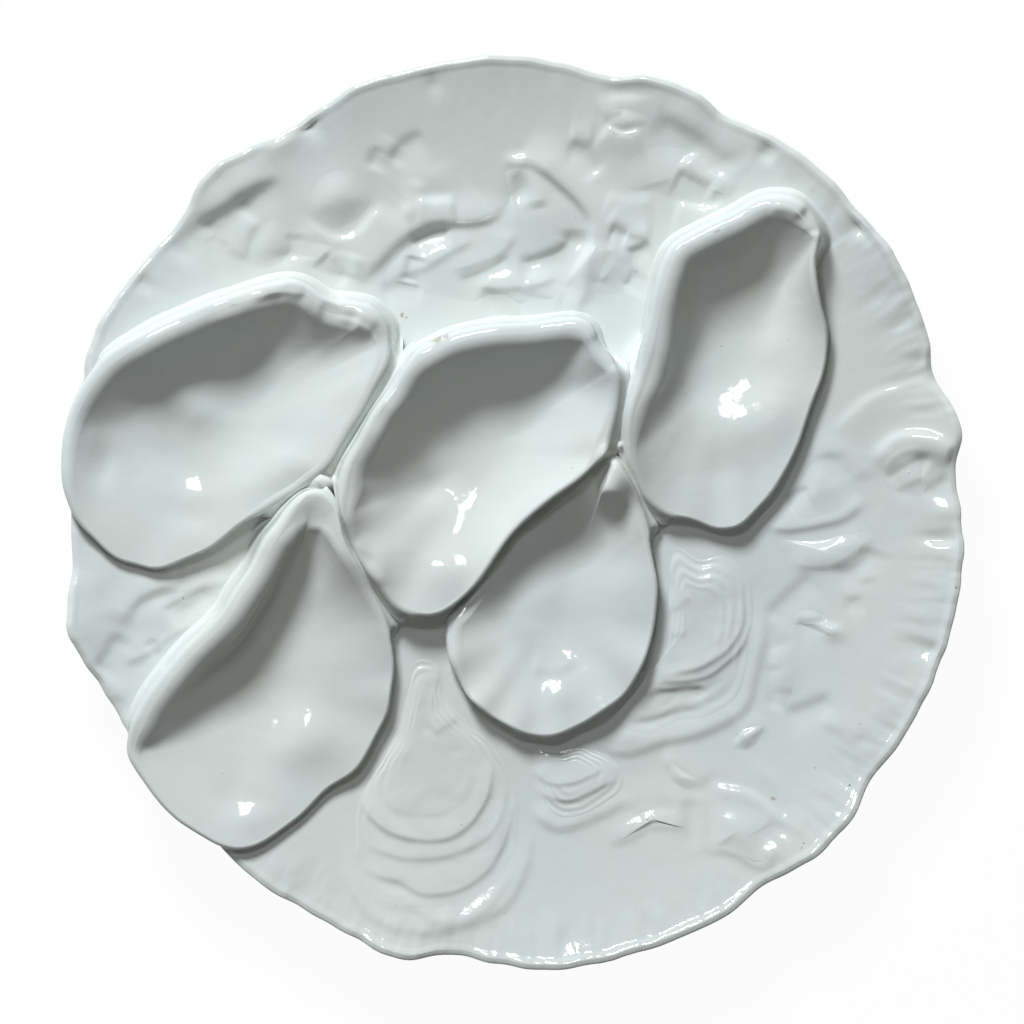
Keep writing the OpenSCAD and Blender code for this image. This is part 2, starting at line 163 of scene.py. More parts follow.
class LineKind(Enum):
    """What one pass of the modelling tool leaves."""

    RIDGE = "ridge"
    CREASE = "crease"
    STEP = "step"


# How the clay takes each kind of pass: shares of its height, steep width and gentle width
CLAY_SHARES = {
    LineKind.RIDGE: (0.8, 1.1, 3.0),
    LineKind.CREASE: (0.9, 1.1, 3.0),
    LineKind.STEP: (0.95, 1.2, 1.2),
}

# Points of a pass for each one given, and how many of its widths it is felt over
LINE_STEPS = 6
LINE_MARGIN = 2.6

# Share of a pass's length that it fades in over at either end, and how far in it starts
FADE_SHARE = 0.22
FADE_START = 0.12

# The smallest squared gap and the shortest leg of a pass to divide by, in mm
NO_GAP = 1e-9
LEAST_LEG = 1e-6


@dataclass(frozen=True)
class ToolLine:
    """One pass of the modelling tool over the soft clay.

    A step is high on the left of its run: it falls steeply to the right over
    width and gently to the left over reach. A ridge or crease was pushed up
    along PUSH, so its slope that looks the other way is the steep one, over
    width. Heights and widths are in mm.
    """

    kind: LineKind
    height: float
    width: float
    reach: float
    path: Points

    def lift(self, x: Array, y: Array) -> Array:
        """Return the height that the pass adds at places x, y in mm."""
        line = spline(np.array(self.path) * PLATE_R, LINE_STEPS, closed=False)
        added = np.zeros_like(x)
        margin = LINE_MARGIN * max(self.width, self.reach)
        low, high = line.min(axis=0) - margin, line.max(axis=0) + margin
        near = (x > low[0]) & (x < high[0]) & (y > low[1]) & (y < high[1])
        if near.any():
            added[near] = self.lift_near(line, x[near], y[near])
        return added

    def lift_near(self, line: Array, x: Array, y: Array) -> Array:
        """Return the height that the pass adds near its run.

        Args:
            line: the run's points in mm.
            x: places in mm.
            y: places in mm.

        Returns:
            The added heights in mm.
        """
        legs = np.diff(line, axis=0)
        lengths = np.maximum(np.linalg.norm(legs, axis=1), LEAST_LEG)
        starts = np.concatenate([[0.0], np.cumsum(lengths)])
        best = np.full(x.shape, np.inf)
        side, along, lean = np.zeros_like(x), np.zeros_like(x), np.zeros_like(x)
        for (ax, ay), leg, length, start in zip(line, legs, lengths, starts):
            t = np.clip(((x - ax) * leg[0] + (y - ay) * leg[1]) / length ** 2, 0.0, 1.0)
            ex, ey = x - ax - t * leg[0], y - ay - t * leg[1]
            gap = ex * ex + ey * ey
            closer = gap < best
            best = np.where(closer, gap, best)
            side = np.where(closer, leg[0] * ey - leg[1] * ex, side)
            along = np.where(closer, start + t * length, along)
            toward = (ex * PUSH[0] + ey * PUSH[1]) / np.sqrt(gap + NO_GAP)
            lean = np.where(closer, toward, lean)
        if self.kind is LineKind.STEP:
            across = np.where(side > 0.0, self.reach, self.width)
        else:
            turned = lean if self.kind is LineKind.RIDGE else -lean
            across = self.width + (self.reach - self.width) * smooth(0.5 + 0.5 * turned)
        share = along / starts[-1]
        ends = smooth(np.minimum(share, 1.0 - share) / FADE_SHARE + FADE_START)
        sign = -1.0 if self.kind is LineKind.CREASE else 1.0
        return sign * self.height * ends * np.exp(-best / across ** 2)


def drawn(kind: LineKind, height: float, steep: float, gentle: float,
          run: tuple[float, ...]) -> ToolLine:
    """Return a pass as the clay takes it.

    Args:
        kind: what the pass leaves.
        height: its height or depth in mm.
        steep: the width of its steep side in mm.
        gentle: the width of its gentle side in mm.
        run: x, y, x, y in plate radius shares.

    Returns:
        The pass.
    """
    firm, steep_share, gentle_share = CLAY_SHARES[kind]
    path = tuple(zip(run[::2], run[1::2]))
    return ToolLine(kind, firm * height, steep_share * steep, gentle_share * gentle, path)


def ridge(height: float, width: float, *run: float) -> ToolLine:
    """Return a rounded ridge along the run x, y, x, y in plate radius shares."""
    return drawn(LineKind.RIDGE, height, width, width, run)


def crease(depth: float, width: float, *run: float) -> ToolLine:
    """Return a pressed crease along the run x, y, x, y in plate radius shares."""
    return drawn(LineKind.CREASE, depth, width, width, run)


def step(height: float, width: float, reach: float, *run: float) -> ToolLine:
    """Return a step along the run x, y, x, y in plate radius shares, high on its left."""
    return drawn(LineKind.STEP, height, width, reach, run)


@dataclass(frozen=True)
class Swell:
    """A soft mound, or a dimple where height is negative, in shares and mm."""

    x: float
    y: float
    long: float
    short: float
    turn: float
    height: float

    def lift(self, x: Array, y: Array) -> Array:
        """Return the height that the mound adds at places x, y in mm."""
        c, s = math.cos(math.radians(self.turn)), math.sin(math.radians(self.turn))
        dx, dy = x - self.x * PLATE_R, y - self.y * PLATE_R
        u = (dx * c + dy * s) / (self.long * PLATE_R)
        v = (dy * c - dx * s) / (self.short * PLATE_R)
        return self.height * np.exp(-(u * u + v * v))


Touches = tuple[ToolLine | Swell, ...]


def modelled(touches: Touches, x: Array, y: Array) -> Array:
    """Return the height that all touches of the tool add at places x, y in mm."""
    total = np.zeros_like(x)
    for touch in touches:
        total += touch.lift(x, y)
    return total


def pressed(touches: Touches, share: float) -> Touches:
    """Return the same touches made with a share of their pressure."""
    return tuple(replace(touch, height=touch.height * share) for touch in touches)


# A rim dimple's width as a share of the radius, and how much of its depth the clay takes
DIMPLE_WIDTH = 0.018
DIMPLE_PRESS = 0.8


def dimple(bearing: float, share: float, long: float, depth: float) -> Swell:
    """Return a dimple that points outwards, by bearing in degrees and share of the radius."""
    turn = math.radians(bearing)
    return Swell(share * math.cos(turn), share * math.sin(turn), long, DIMPLE_WIDTH, bearing,
                 -DIMPLE_PRESS * depth)


# Passes of the tool over the plate and its low reliefs
TOP_LEFT: Touches = (
    crease(1.0, 1.6, -.73, .567, -.70, .60, -.66, .63, -.61, .655, -.55, .692, -.50, .712),
    ridge(0.8, 1.5, -.70, .625, -.63, .675, -.56, .72, -.50, .74),
    ridge(0.7, 1.3, -.595, .55, -.58, .60, -.555, .64),
    crease(0.8, 1.3, -.475, .605, -.478, .55),
    Swell(-.50, .555, .022, .018, 0, -.7),
    crease(0.5, 1.0, -.655, .60, -.64, .58, -.625, .592),
    Swell(-.385, .69, .075, .055, 40, .9),
    step(0.9, 1.0, 5.0, -.275, .675, -.30, .64, -.34, .60, -.38, .59, -.42, .605, -.455, .635),
    crease(0.8, 1.2, -.415, .56, -.385, .53, -.355, .505),
    ridge(0.8, 1.3, -.335, .56, -.35, .51),
    crease(0.7, 1.1, -.31, .75, -.29, .795),
    crease(0.7, 1.2, -.265, .76, -.235, .80, -.19, .822),
    ridge(0.5, 1.4, -.285, .765, -.255, .81),
    step(0.9, 1.0, 5.0, -.12, .675, -.165, .672, -.21, .675),
    ridge(0.7, 1.4, -.20, .725, -.215, .66, -.245, .655),
    Swell(-.17, .73, .05, .03, 0, .6),
    Swell(-.50, .81, .05, .03, 40, .7),
    Swell(-.45, .845, .022, .016, 40, -.8),
    Swell(-.60, .70, .06, .03, 35, .5),
)
WAVE: Touches = (
    step(1.5, 1.2, 5.0, .015, .78, .06, .757, .11, .717, .15, .68, .175, .645, .182, .60,
         .175, .57, .15, .53, .12, .495),
    ridge(0.8, 1.3, .0, .76, .03, .735, .05, .70, .06, .66),
    Swell(.01, .765, .02, .012, 0, .8),
    crease(1.1, 1.5, .13, .62, .125, .585, .10, .563, .05, .545, .01, .538),
    ridge(0.9, 1.6, .175, .585, .16, .54, .155, .50, .15, .47, .115, .43),
    ridge(0.5, 1.1, .11, .455, .075, .475, .02, .49),
    Swell(.015, .70, .022, .03, 0, -.9),
    Swell(.07, .64, .05, .05, 0, .5),
    step(1.2, 1.3, 5.0, -.35, .49, -.30, .545, -.235, .605, -.17, .635, -.10, .635,
         -.05, .645, -.015, .68),
    crease(0.9, 1.3, -.225, .585, -.18, .605, -.13, .612),
    crease(0.7, 1.2, -.23, .50, -.215, .56),
    crease(0.6, 1.2, -.29, .48, -.24, .49, -.19, .485),
    ridge(0.6, 1.4, -.27, .52, -.20, .535, -.14, .57, -.08, .60),
    crease(0.8, 1.2, -.07, .482, -.03, .465, 0, .447, .04, .44),
    ridge(0.7, 1.3, -.08, .50, -.03, .492, .05, .50, .10, .52),
    ridge(0.5, 1.3, -.14, .53, -.08, .545, -.02, .575, .0, .62),
    crease(0.5, 1.1, -.12, .50, -.06, .52, .0, .555),
)
TOP_RIGHT: Touches = (
    Swell(.25, .915, .05, .014, 0, -.8),
    ridge(0.6, 1.2, .195, .862, .215, .872, .24, .878),
    step(0.9, 0.9, 4.0, .285, .83, .255, .82, .225, .823, .20, .84),
    crease(1.1, 1.8, .31, .862, .35, .832, .38, .815, .42, .79, .45, .765, .47, .73),
    ridge(0.7, 1.6, .33, .88, .38, .85, .44, .81, .485, .76),
    ridge(1.0, 1.6, .375, .775, .42, .725, .455, .685),
    crease(0.9, 1.4, .355, .735, .40, .715, .44, .70),
    step(1.0, 1.0, 5.0, .465, .66, .41, .655, .355, .668),
    ridge(0.7, 1.3, .478, .725, .46, .685),
    step(0.6, 1.2, 4.0, .31, .675, .25, .673, .20, .685),
    crease(0.8, 1.3, .12, .80, .15, .785, .19, .735),
    ridge(0.6, 1.4, .125, .815, .18, .812),
    ridge(1.0, 1.2, .205, .642, .25, .617, .305, .60),
    crease(0.7, 1.0, .215, .622, .255, .603),
    ridge(0.6, 1.2, .205, .585, .20, .545, .19, .50),
    ridge(0.7, 1.2, .24, .578, .27, .585, .305, .597),
    crease(0.7, 1.1, .255, .562, .30, .583),
    crease(0.7, 1.2, .275, .525, .25, .487),
    Swell(.555, .78, .022, .014, -45, -.8),
    Swell(.76, .617, .026, .014, -40, -.8),
    Swell(.60, .78, .04, .03, -45, .4),
)
RIGHT: Touches = (
    step(1.3, 1.2, 4.5, .98, .11, .925, .155, .86, .163, .82, .145, .79, .10),
    ridge(1.0, 1.5, .80, .085, .835, .125, .88, .14, .94, .125, .975, .095),
    crease(1.0, 1.4, .815, .065, .855, .092, .89, .11, .915, .105),
    ridge(0.6, 1.2, .83, .05, .87, .07, .90, .08),
    crease(0.8, 1.2, .905, .03, .93, .06, .97, .075),
    Swell(.95, .0, .03, .02, 0, .6),
    step(0.9, 4.5, 1.3, .70, .165, .76, .225, .80, .25, .88, .275, .95, .27),
    ridge(0.9, 1.5, .655, .128, .72, .133, .755, .10, .772, .065),
    crease(0.8, 1.1, .59, .02, .615, .035, .65, .048),
    step(1.1, 1.0, 4.0, .555, -.025, .60, -.035, .68, -.022, .73, -.005, .77, .035),
    ridge(1.0, 1.4, .60, -.105, .65, -.115, .70, -.11, .75, -.08, .785, -.045),
    crease(1.0, 1.3, .785, -.075, .77, -.105, .745, -.128, .70, -.14),
    ridge(0.6, 1.1, .75, -.147, .79, -.135),
    crease(0.8, 1.1, .725, -.20, .765, -.195),
    crease(0.9, 1.4, .66, -.135, .60, -.19, .555, -.235),
    crease(0.7, 1.2, .62, -.247, .685, -.24),
    Swell(.70, -.262, .025, .018, 0, .9),
    Swell(.93, -.06, .05, .012, 0, -.6),
    Swell(.935, -.31, .04, .012, -15, -.8),
    crease(1.0, 1.4, .59, -.445, .64, -.43, .70, -.405),
    ridge(0.7, 1.3, .67, -.45, .72, -.472, .755, -.505),
    ridge(0.6, 1.3, .60, -.40, .605, -.345, .585, -.29),
    ridge(0.8, 1.4, .49, -.49, .52, -.475, .555, -.458),
    crease(0.5, 1.0, .56, -.43, .575, -.39, .565, -.33),
)
FLAT_RIGHT: Touches = (
    step(0.9, 0.8, 4.5, .35, -.35, .41, -.335, .465, -.30, .497, -.25, .502, -.19),
    step(0.9, 0.8, 4.0, .30, -.368, .36, -.366, .42, -.357, .46, -.33, .50, -.29, .52, -.23),
    step(0.6, 0.7, 3.0, .30, -.38, .36, -.383, .42, -.375),
    crease(0.7, 0.9, .285, -.408, .33, -.398, .385, -.387, .43, -.395),
    crease(0.5, 0.9, .25, -.468, .30, -.458, .36, -.442, .42, -.43),
    step(1.2, 0.9, 4.5, .175, -.478, .20, -.508, .25, -.523, .33, -.498, .40, -.483,
         .47, -.452, .508, -.42, .525, -.36, .545, -.27, .545, -.19),
    ridge(0.5, 1.2, .335, -.218, .36, -.20, .39, -.178),
    ridge(0.5, 1.2, .32, -.268, .35, -.262, .385, -.258),
    ridge(0.4, 1.4, .40, -.12, .44, -.16, .47, -.21, .46, -.26, .42, -.295),
    Swell(.43, -.15, .06, .05, 0, .5),
    Swell(.25, -.49, .05, .02, 10, .5),
)
FLAT_LARGE: Touches = (
    step(1.3, 0.8, 5.5, -.335, -.59, -.315, -.65, -.27, -.692, -.21, -.71, -.15, -.71,
         -.105, -.688, -.07, -.645, -.052, -.60, -.045, -.53),
    step(0.7, 0.8, 3.0, -.33, -.71, -.29, -.735, -.22, -.752, -.13, -.743, -.05, -.70,
         -.015, -.62),
    step(1.0, 0.8, 4.0, -.335, -.765, -.29, -.79, -.24, -.803, -.20, -.827, -.15, -.828,
         -.10, -.812, -.05, -.772, -.018, -.71, .0, -.63),
    step(0.8, 0.8, 3.0, -.325, -.81, -.27, -.852, -.22, -.858, -.19, -.876, -.17, -.892,
         -.12, -.892, -.07, -.872, -.03, -.83, .005, -.77),
    step(1.1, 0.9, 3.5, -.362, -.72, -.352, -.80, -.32, -.865, -.27, -.898, -.21, -.912,
         -.14, -.908, -.07, -.885, -.015, -.853, .025, -.78, .042, -.69),
    ridge(0.6, 1.2, -.12, -.44, -.145, -.46, -.175, -.482),
    ridge(0.5, 1.4, -.22, -.50, -.25, -.56, -.24, -.62, -.20, -.655),
    ridge(0.4, 1.6, -.12, -.52, -.11, -.58, -.13, -.63),
    crease(0.5, 1.2, -.17, -.36, -.185, -.43, -.19, -.50),
    Swell(-.19, -.58, .09, .07, 90, .6),
    crease(0.4, 0.9, -.30, -.60, -.27, -.65, -.21, -.67, -.15, -.665, -.11, -.64),
)
FLAT_SMALL: Touches = (
    step(1.1, 0.8, 4.0, .04, -.64, .08, -.68, .12, -.685, .20, -.655, .26, -.622),
    step(0.8, 0.8, 3.0, .045, -.60, .09, -.622, .13, -.623, .185, -.60, .23, -.575),
    step(0.6, 0.7, 2.6, .04, -.56, .08, -.587, .12, -.59, .165, -.575, .20, -.555),
)
BOW: Touches = (
    ridge(0.9, 1.5, .325, -.535, .38, -.56, .42, -.60),
    ridge(1.0, 1.3, .405, -.605, .412, -.67, .412, -.745),
    crease(0.8, 1.2, .39, -.62, .395, -.68, .395, -.74),
    step(1.0, 4.0, 1.0, .43, -.60, .52, -.62, .57, -.66, .587, -.69),
    step(1.1, 0.9, 4.0, .42, -.742, .46, -.735, .50, -.747, .53, -.767, .555, -.765,
         .58, -.72),
    ridge(0.5, 1.0, .585, -.665, .61, -.68, .64, -.695),
    step(0.9, 0.9, 4.0, .205, -.725, .26, -.702, .30, -.682, .345, -.682, .39, -.688),
    ridge(0.6, 1.3, .24, -.655, .28, -.625, .34, -.62, .39, -.64),
    crease(0.5, 1.1, .26, -.67, .31, -.65, .36, -.655),
    Swell(.48, -.68, .05, .03, -15, .5),
    Swell(.56, -.58, .05, .02, -40, .4),
    Swell(.60, -.72, .03, .03, 0, .4),
)
LEFT: Touches = (
    ridge(1.0, 1.5, -.72, -.152, -.77, -.162, -.81, -.18, -.838, -.21, -.855, -.25),
    crease(0.9, 1.4, -.85, -.265, -.88, -.31, -.905, -.355),
    crease(0.8, 1.2, -.765, -.225, -.70, -.19, -.65, -.165),
    crease(0.6, 1.1, -.80, -.297, -.775, -.285),
    ridge(0.7, 1.2, -.85, -.33, -.79, -.30, -.73, -.255, -.69, -.245),
    ridge(0.6, 1.4, -.74, -.205, -.69, -.175, -.62, -.14),
    Swell(-.89, -.12, .05, .06, 0, .5),
    Swell(-.86, -.40, .03, .03, 0, .5),
)
SLIP_PLUGS: Touches = (
    Swell(-.412, .066, .052, .040, 20, 9.6), Swell(.228, .140, .030, .026, 60, 9.5),
    Swell(.258, .322, .030, .018, 70, 5.0), Swell(-.262, -.225, .030, .030, 0, 4.0),
)
RIM_DIMPLES: Touches = tuple(
    dimple(bearing, share, long, depth) for bearing, share, long, depth in (
        (148.1, .941, .030, .7), (141.8, .919, .032, .7), (136.8, .908, .030, .6),
        (131.1, .891, .030, .6), (117.4, .946, .030, .8), (100.4, .947, .022, .6),
        (161.0, .935, .026, .5), (167.0, .940, .022, .4), (54.8, .966, .030, .7),
        (39.4, .970, .030, .7), (30.5, .930, .045, .5), (26.0, .945, .050, .7),
        (20.5, .950, .030, .5), (-3.2, .935, .045, .6), (-18.2, .950, .045, .7),
        (-30.0, .955, .030, .5), (-72.0, .950, .035, .4), (-83.0, .950, .030, .4)))

SHORE: Touches = (
    pressed(TOP_LEFT, 0.85) + pressed(WAVE, 1.05) + pressed(TOP_RIGHT, 0.8)
    + pressed(RIGHT, 0.58) + pressed(FLAT_RIGHT, 0.55) + pressed(FLAT_LARGE, 0.43)
    + pressed(FLAT_SMALL, 0.5) + pressed(BOW, 0.48) + pressed(LEFT, 0.9)
    + RIM_DIMPLES + SLIP_PLUGS
)


# Meshes

def risen(x: Array, y: Array, start: float, bend: float) -> Array:
    """Return how far the rim has risen at places x, y in mm, from 0 at its start to 1."""
    share = np.hypot(x, y) / PLATE_R
    return np.maximum(0.0, (share - start) / (1.0 - start)) ** bend


def plate_top(x: Array, y: Array) -> Array:
    """Return the height of the bare plate's top at places x, y in mm."""
    return MIDDLE_Z + RIM_RISE * risen(x, y, RIM_START, RIM_BEND)


def plate_under(x: Array, y: Array) -> Array:
    """Return the height of the plate's underside at places x, y in mm."""
    return FOOT_H + (PLATE_T + RIM_RISE - RIM_T) * risen(x, y, BACK_START, BACK_BEND)


# The share that marks a form's hidden side, and how a touch of the tool pools the glaze and paints
# shade into its creases
HIDDEN_SIDE = 2.0
POOL_AND_SHADE_PER_MM = 0.3
POOL_AND_SHADE_LIMITS = (-0.3, 0.4)


def pooled_and_shaded(touched: Array) -> Array:
    """Return how much glaze pools where the tool's touches add heights in mm; the same value
    paints shade into creases and lightens ridges.
    """
    return np.clip(-touched * POOL_AND_SHADE_PER_MM, *POOL_AND_SHADE_LIMITS)


@dataclass
class RingedForm:
    """Closed form through equal rings, from a pole on top to a pole below, in mm."""

    first_pole: Array
    rings: list[Array] = field(default_factory=list)
    pooling_and_shade: list[Array] = field(default_factory=list)
    share: list[Array] = field(default_factory=list)

    def add(self, place: Array, height: Array, pooling_and_shade: Array | float = 0.0,
            share: float = 1.0) -> None:
        """Add a ring.

        Args:
            place: its rows x, y in mm.
            height: its heights in mm.
            pooling_and_shade: how much glaze pools there, with painted shade in recesses, less
                than 0 where it is thin.
            share: its share of the way out from the first pole.
        """
        count = len(place)
        self.rings.append(np.column_stack([place, below_top(height)]))
        self.pooling_and_shade.append(np.broadcast_to(np.asarray(pooling_and_shade, float), (count,)))
        self.share.append(np.full(count, share))

    def mesh(self, name: str, last_pole: Array) -> bpy.types.Mesh:
        """Build the mesh in metres.

        Args:
            name: the mesh's name.
            last_pole: the point that closes the form below.

        Returns:
            A smooth-shaded closed mesh with its pooled-glaze-and-painted-shade attribute and its
            share attribute.
        """
        count, depth = len(self.rings[0]), len(self.rings)
        points = np.concatenate([self.first_pole[None], *self.rings, last_pole[None]]) * MM
        around = np.arange(count)
        after = (around + 1) % count
        starts = 1 + np.arange(depth - 1)[:, None] * count
        quads = np.stack([starts + around, starts + count + around,
                          starts + count + after, starts + after], axis=2).reshape(-1, 4)
        last = 1 + (depth - 1) * count
        faces = [(0, 1 + int(j), 1 + int(k)) for j, k in zip(around, after)]
        faces += [tuple(row) for row in quads.tolist()]
        faces += [(last + int(j), len(points) - 1, last + int(k)) for j, k in zip(around, after)]
        mesh = bpy.data.meshes.new(name)
        mesh.from_pydata(points.tolist(), [], faces)
        mesh.update()
        mesh.shade_smooth()
        for label, first, rows, final in (("pooling_and_shade", self.pooling_and_shade[0].mean(), self.pooling_and_shade, 0.0),
                                          ("share", 0.0, self.share, 1.0)):
            values = np.concatenate([[first], *rows, [final]])
            layer = mesh.attributes.new(label, "FLOAT", "POINT")
            layer.data.foreach_set("value", values.astype(np.float32))
        return mesh


def placed(name: str, mesh: bpy.types.Mesh, material: bpy.types.Material) -> bpy.types.Object:
    """Put a mesh into the scene as an object at the origin, with its material."""
    if not mesh.materials:
        mesh.materials.append(material)
    made = bpy.data.objects.new(name, mesh)
    bpy.context.scene.collection.objects.link(made)
    return made


def seated(piece: bpy.types.Object, node: str) -> bpy.types.Object:
    """Let a finished piece stand for its node of the fixed frame and report it."""
    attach(piece, "root")
    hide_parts(node)
    size = [round(edge / MM, 1) for edge in piece.dimensions]
    LOG.info("%s: %d faces, %s mm", piece.name, len(piece.data.polygons), size)
    return piece


# Node trees

@dataclass(frozen=True)
class Grain:
    """A noise pattern: how often it repeats in a metre, its detail and its roughness."""

    scale: float
    detail: float = 2.0
    roughness: float = 0.5


class Wire:
    """A socket of a node tree that takes part in written maths."""

    def __init__(self, tree: bpy.types.NodeTree, socket: bpy.types.NodeSocket) -> None:
        """Wrap a socket of a tree."""
        self.tree = tree
        self.socket = socket

    def into(self, port: bpy.types.NodeSocket) -> None:
        """Link this socket to a port."""
        self.tree.links.new(self.socket, port)

    def _math(self, operation: str, *values: "Wire | float") -> "Wire":
        """Add a Math node over values and return its result."""
        made = self.tree.nodes.new("ShaderNodeMath")
        made.operation = operation
        for port, value in zip(made.inputs, values):
            if isinstance(value, Wire):
                value.into(port)
            else:
                port.default_value = value
        return Wire(self.tree, made.outputs[0])

    def __add__(self, other: "Wire | float") -> "Wire":
        """Add."""
        return self._math("ADD", self, other)

    __radd__ = __add__

    def __mul__(self, other: "Wire | float") -> "Wire":
        """Multiply."""
        return self._math("MULTIPLY", self, other)

    __rmul__ = __mul__

    def __sub__(self, other: "Wire | float") -> "Wire":
        """Subtract."""
        return self._math("SUBTRACT", self, other)

    def __rsub__(self, other: float) -> "Wire":
        """Subtract this from a number."""
        return self._math("SUBTRACT", other, self)

    def __truediv__(self, other: "Wire | float") -> "Wire":
        """Divide."""
        return self._math("DIVIDE", self, other)

    def __pow__(self, other: float) -> "Wire":
        """Raise to a power."""
        return self._math("POWER", self, other)

    def __gt__(self, other: "Wire | float") -> "Wire":
        """Return 1 where this is greater."""
        return self._math("GREATER_THAN", self, other)

    def sine(self) -> "Wire":
        """Return the sine."""
        return self._math("SINE", self)

    def turn_of(self, other: "Wire") -> "Wire":
        """Return the angle of the point (other, self)."""
        return self._math("ARCTAN2", self, other)

    def larger(self, other: "Wire | float") -> "Wire":
        """Return the larger value."""
        return self._math("MAXIMUM", self, other)

    def eased(self, low: float, high: float) -> "Wire":
        """Ease from 0 at low to 1 at high, held outside them."""
        made = self.tree.nodes.new("ShaderNodeMapRange")
        made.interpolation_type = "SMOOTHSTEP"
        self.into(made.inputs["Value"])
        made.inputs["From Min"].default_value = low
        made.inputs["From Max"].default_value = high
        return Wire(self.tree, made.outputs[0])


class Graph:
    """Adds nodes to one shader or geometry tree."""

    def __init__(self, tree: bpy.types.NodeTree) -> None:
        """Start work on a tree."""
        self.tree = tree

    def node(self, kind: str, settings: dict | None = None,
             values: dict | None = None) -> bpy.types.Node:
        """Add a node.

        Args:
            kind: the node's type.
            settings: properties that are set first.
            values: numbers, colours or wires for its sockets, by name or index.

        Returns:
            The node.
        """
        made = self.tree.nodes.new(kind)
        for name, value in (settings or {}).items():
            setattr(made, name, value)
        for name, value in (values or {}).items():
            if isinstance(value, Wire):
                value.into(made.inputs[name])
            else:
                made.inputs[name].default_value = value
        return made

    def wire(self, kind: str, settings: dict | None = None, values: dict | None = None,
             output: str | int = 0) -> Wire:
        """Add a node and return one of its outputs as a wire."""
        return Wire(self.tree, self.node(kind, settings, values).outputs[output])

    def noise(self, place: Wire, grain: Grain, output: str | int = 0) -> Wire:
        """Add a noise pattern over places and return its value, or its output Color."""
        return self.wire("ShaderNodeTexNoise", values={
            "Vector": place, "Scale": grain.scale, "Detail": grain.detail,
            "Roughness": grain.roughness}, output=output)

    def vector(self, operation: str, *values: Wire | tuple[float, float, float],
               output: str = "Vector") -> Wire:
        """Add a Vector Math node over values and return its result."""
        return self.wire("ShaderNodeVectorMath", {"operation": operation},
                         dict(enumerate(values)), output=output)

    def mixed(self, share: Wire, first: Wire | Colour, second: Wire | Colour) -> Wire:
        """Mix two colours by a share from 0 to 1."""
        both = [c if isinstance(c, Wire) else (*c, 1.0) for c in (first, second)]
        return self.wire("ShaderNodeMix", {"data_type": "RGBA"},
                         {0: share, 6: both[0], 7: both[1]}, output=2)

    def axes(self, vector: Wire) -> tuple[Wire, Wire, Wire]:
        """Split a vector into x, y and z."""
        made = self.node("ShaderNodeSeparateXYZ", values={0: vector})
        return tuple(Wire(self.tree, made.outputs[k]) for k in range(3))


class Rule:
    """A Geometry Nodes tree with named inputs, whose result becomes a plain mesh."""

    KINDS = {"float": "NodeSocketFloat", "int": "NodeSocketInt",
             "material": "NodeSocketMaterial", "geometry": "NodeSocketGeometry"}

    def __init__(self, name: str, inputs: dict[str, str]) -> None:
        """Start a tree with a geometry input and the named inputs, each with its kind."""
        self.tree = bpy.data.node_groups.new(name, "GeometryNodeTree")
        self.graph = Graph(self.tree)
        self.ports = {}
        for label, kind in {"Geometry": "geometry", **inputs, "Material": "material"}.items():
            port = self.tree.interface.new_socket(
                label, in_out="INPUT", socket_type=self.KINDS[kind])
            self.ports[label] = port.identifier
        self.tree.interface.new_socket(
            "Geometry", in_out="OUTPUT", socket_type="NodeSocketGeometry")
        self.entry = self.tree.nodes.new("NodeGroupInput")

    def value(self, name: str) -> Wire:
        """Return a named input as a wire."""
        return Wire(self.tree, self.entry.outputs[name])

    def share(self) -> Wire:
        """Return each point's share of the way out from its form's first pole."""
        return self.graph.wire("GeometryNodeInputNamedAttribute", {"data_type": "FLOAT"},
                               {"Name": "share"}, output="Attribute")

    def close(self, geometry: Wire, lift: Wire) -> None:
        """End the tree with real geometry, lifted and in its material."""
        offset = self.graph.wire("ShaderNodeCombineXYZ", values={2: lift})
        moved = self.graph.wire("GeometryNodeSetPosition", values={
            "Geometry": geometry, "Offset": offset})
        real = self.graph.wire("GeometryNodeRealizeInstances", values={0: moved})
        dressed = self.graph.wire("GeometryNodeSetMaterial",
                                  values={"Geometry": real, "Material": self.value("Material")})
        dressed.into(self.tree.nodes.new("NodeGroupOutput").inputs[0])

    def run(self, piece: bpy.types.Object, values: dict) -> bpy.types.Object:
        """Apply the rule to a piece.

        Args:
            piece: the object whose mesh the rule starts from.
            values: what each named input gets.

        Returns:
            The same object with the result as its plain mesh.
        """
        modifier = piece.modifiers.new(self.tree.name, "NODES")
        modifier.node_group = self.tree
        for name, value in values.items():
            modifier[self.ports[name]] = value
        shown = piece.evaluated_get(bpy.context.evaluated_depsgraph_get())
        mesh = bpy.data.meshes.new_from_object(shown)
        piece.modifiers.remove(modifier)
        mesh.name = piece.name
        piece.data = mesh
        return piece


# Finishes

def linear(red: int, green: int, blue: int) -> Colour:
    """Turn a colour as seen on a screen, 0 to 255, into a scene colour."""
    shares = [value / 255 for value in (red, green, blue)]
    return tuple(s / 12.92 if s <= 0.04045 else ((s + 0.055) / 1.055) ** 2.4 for s in shares)


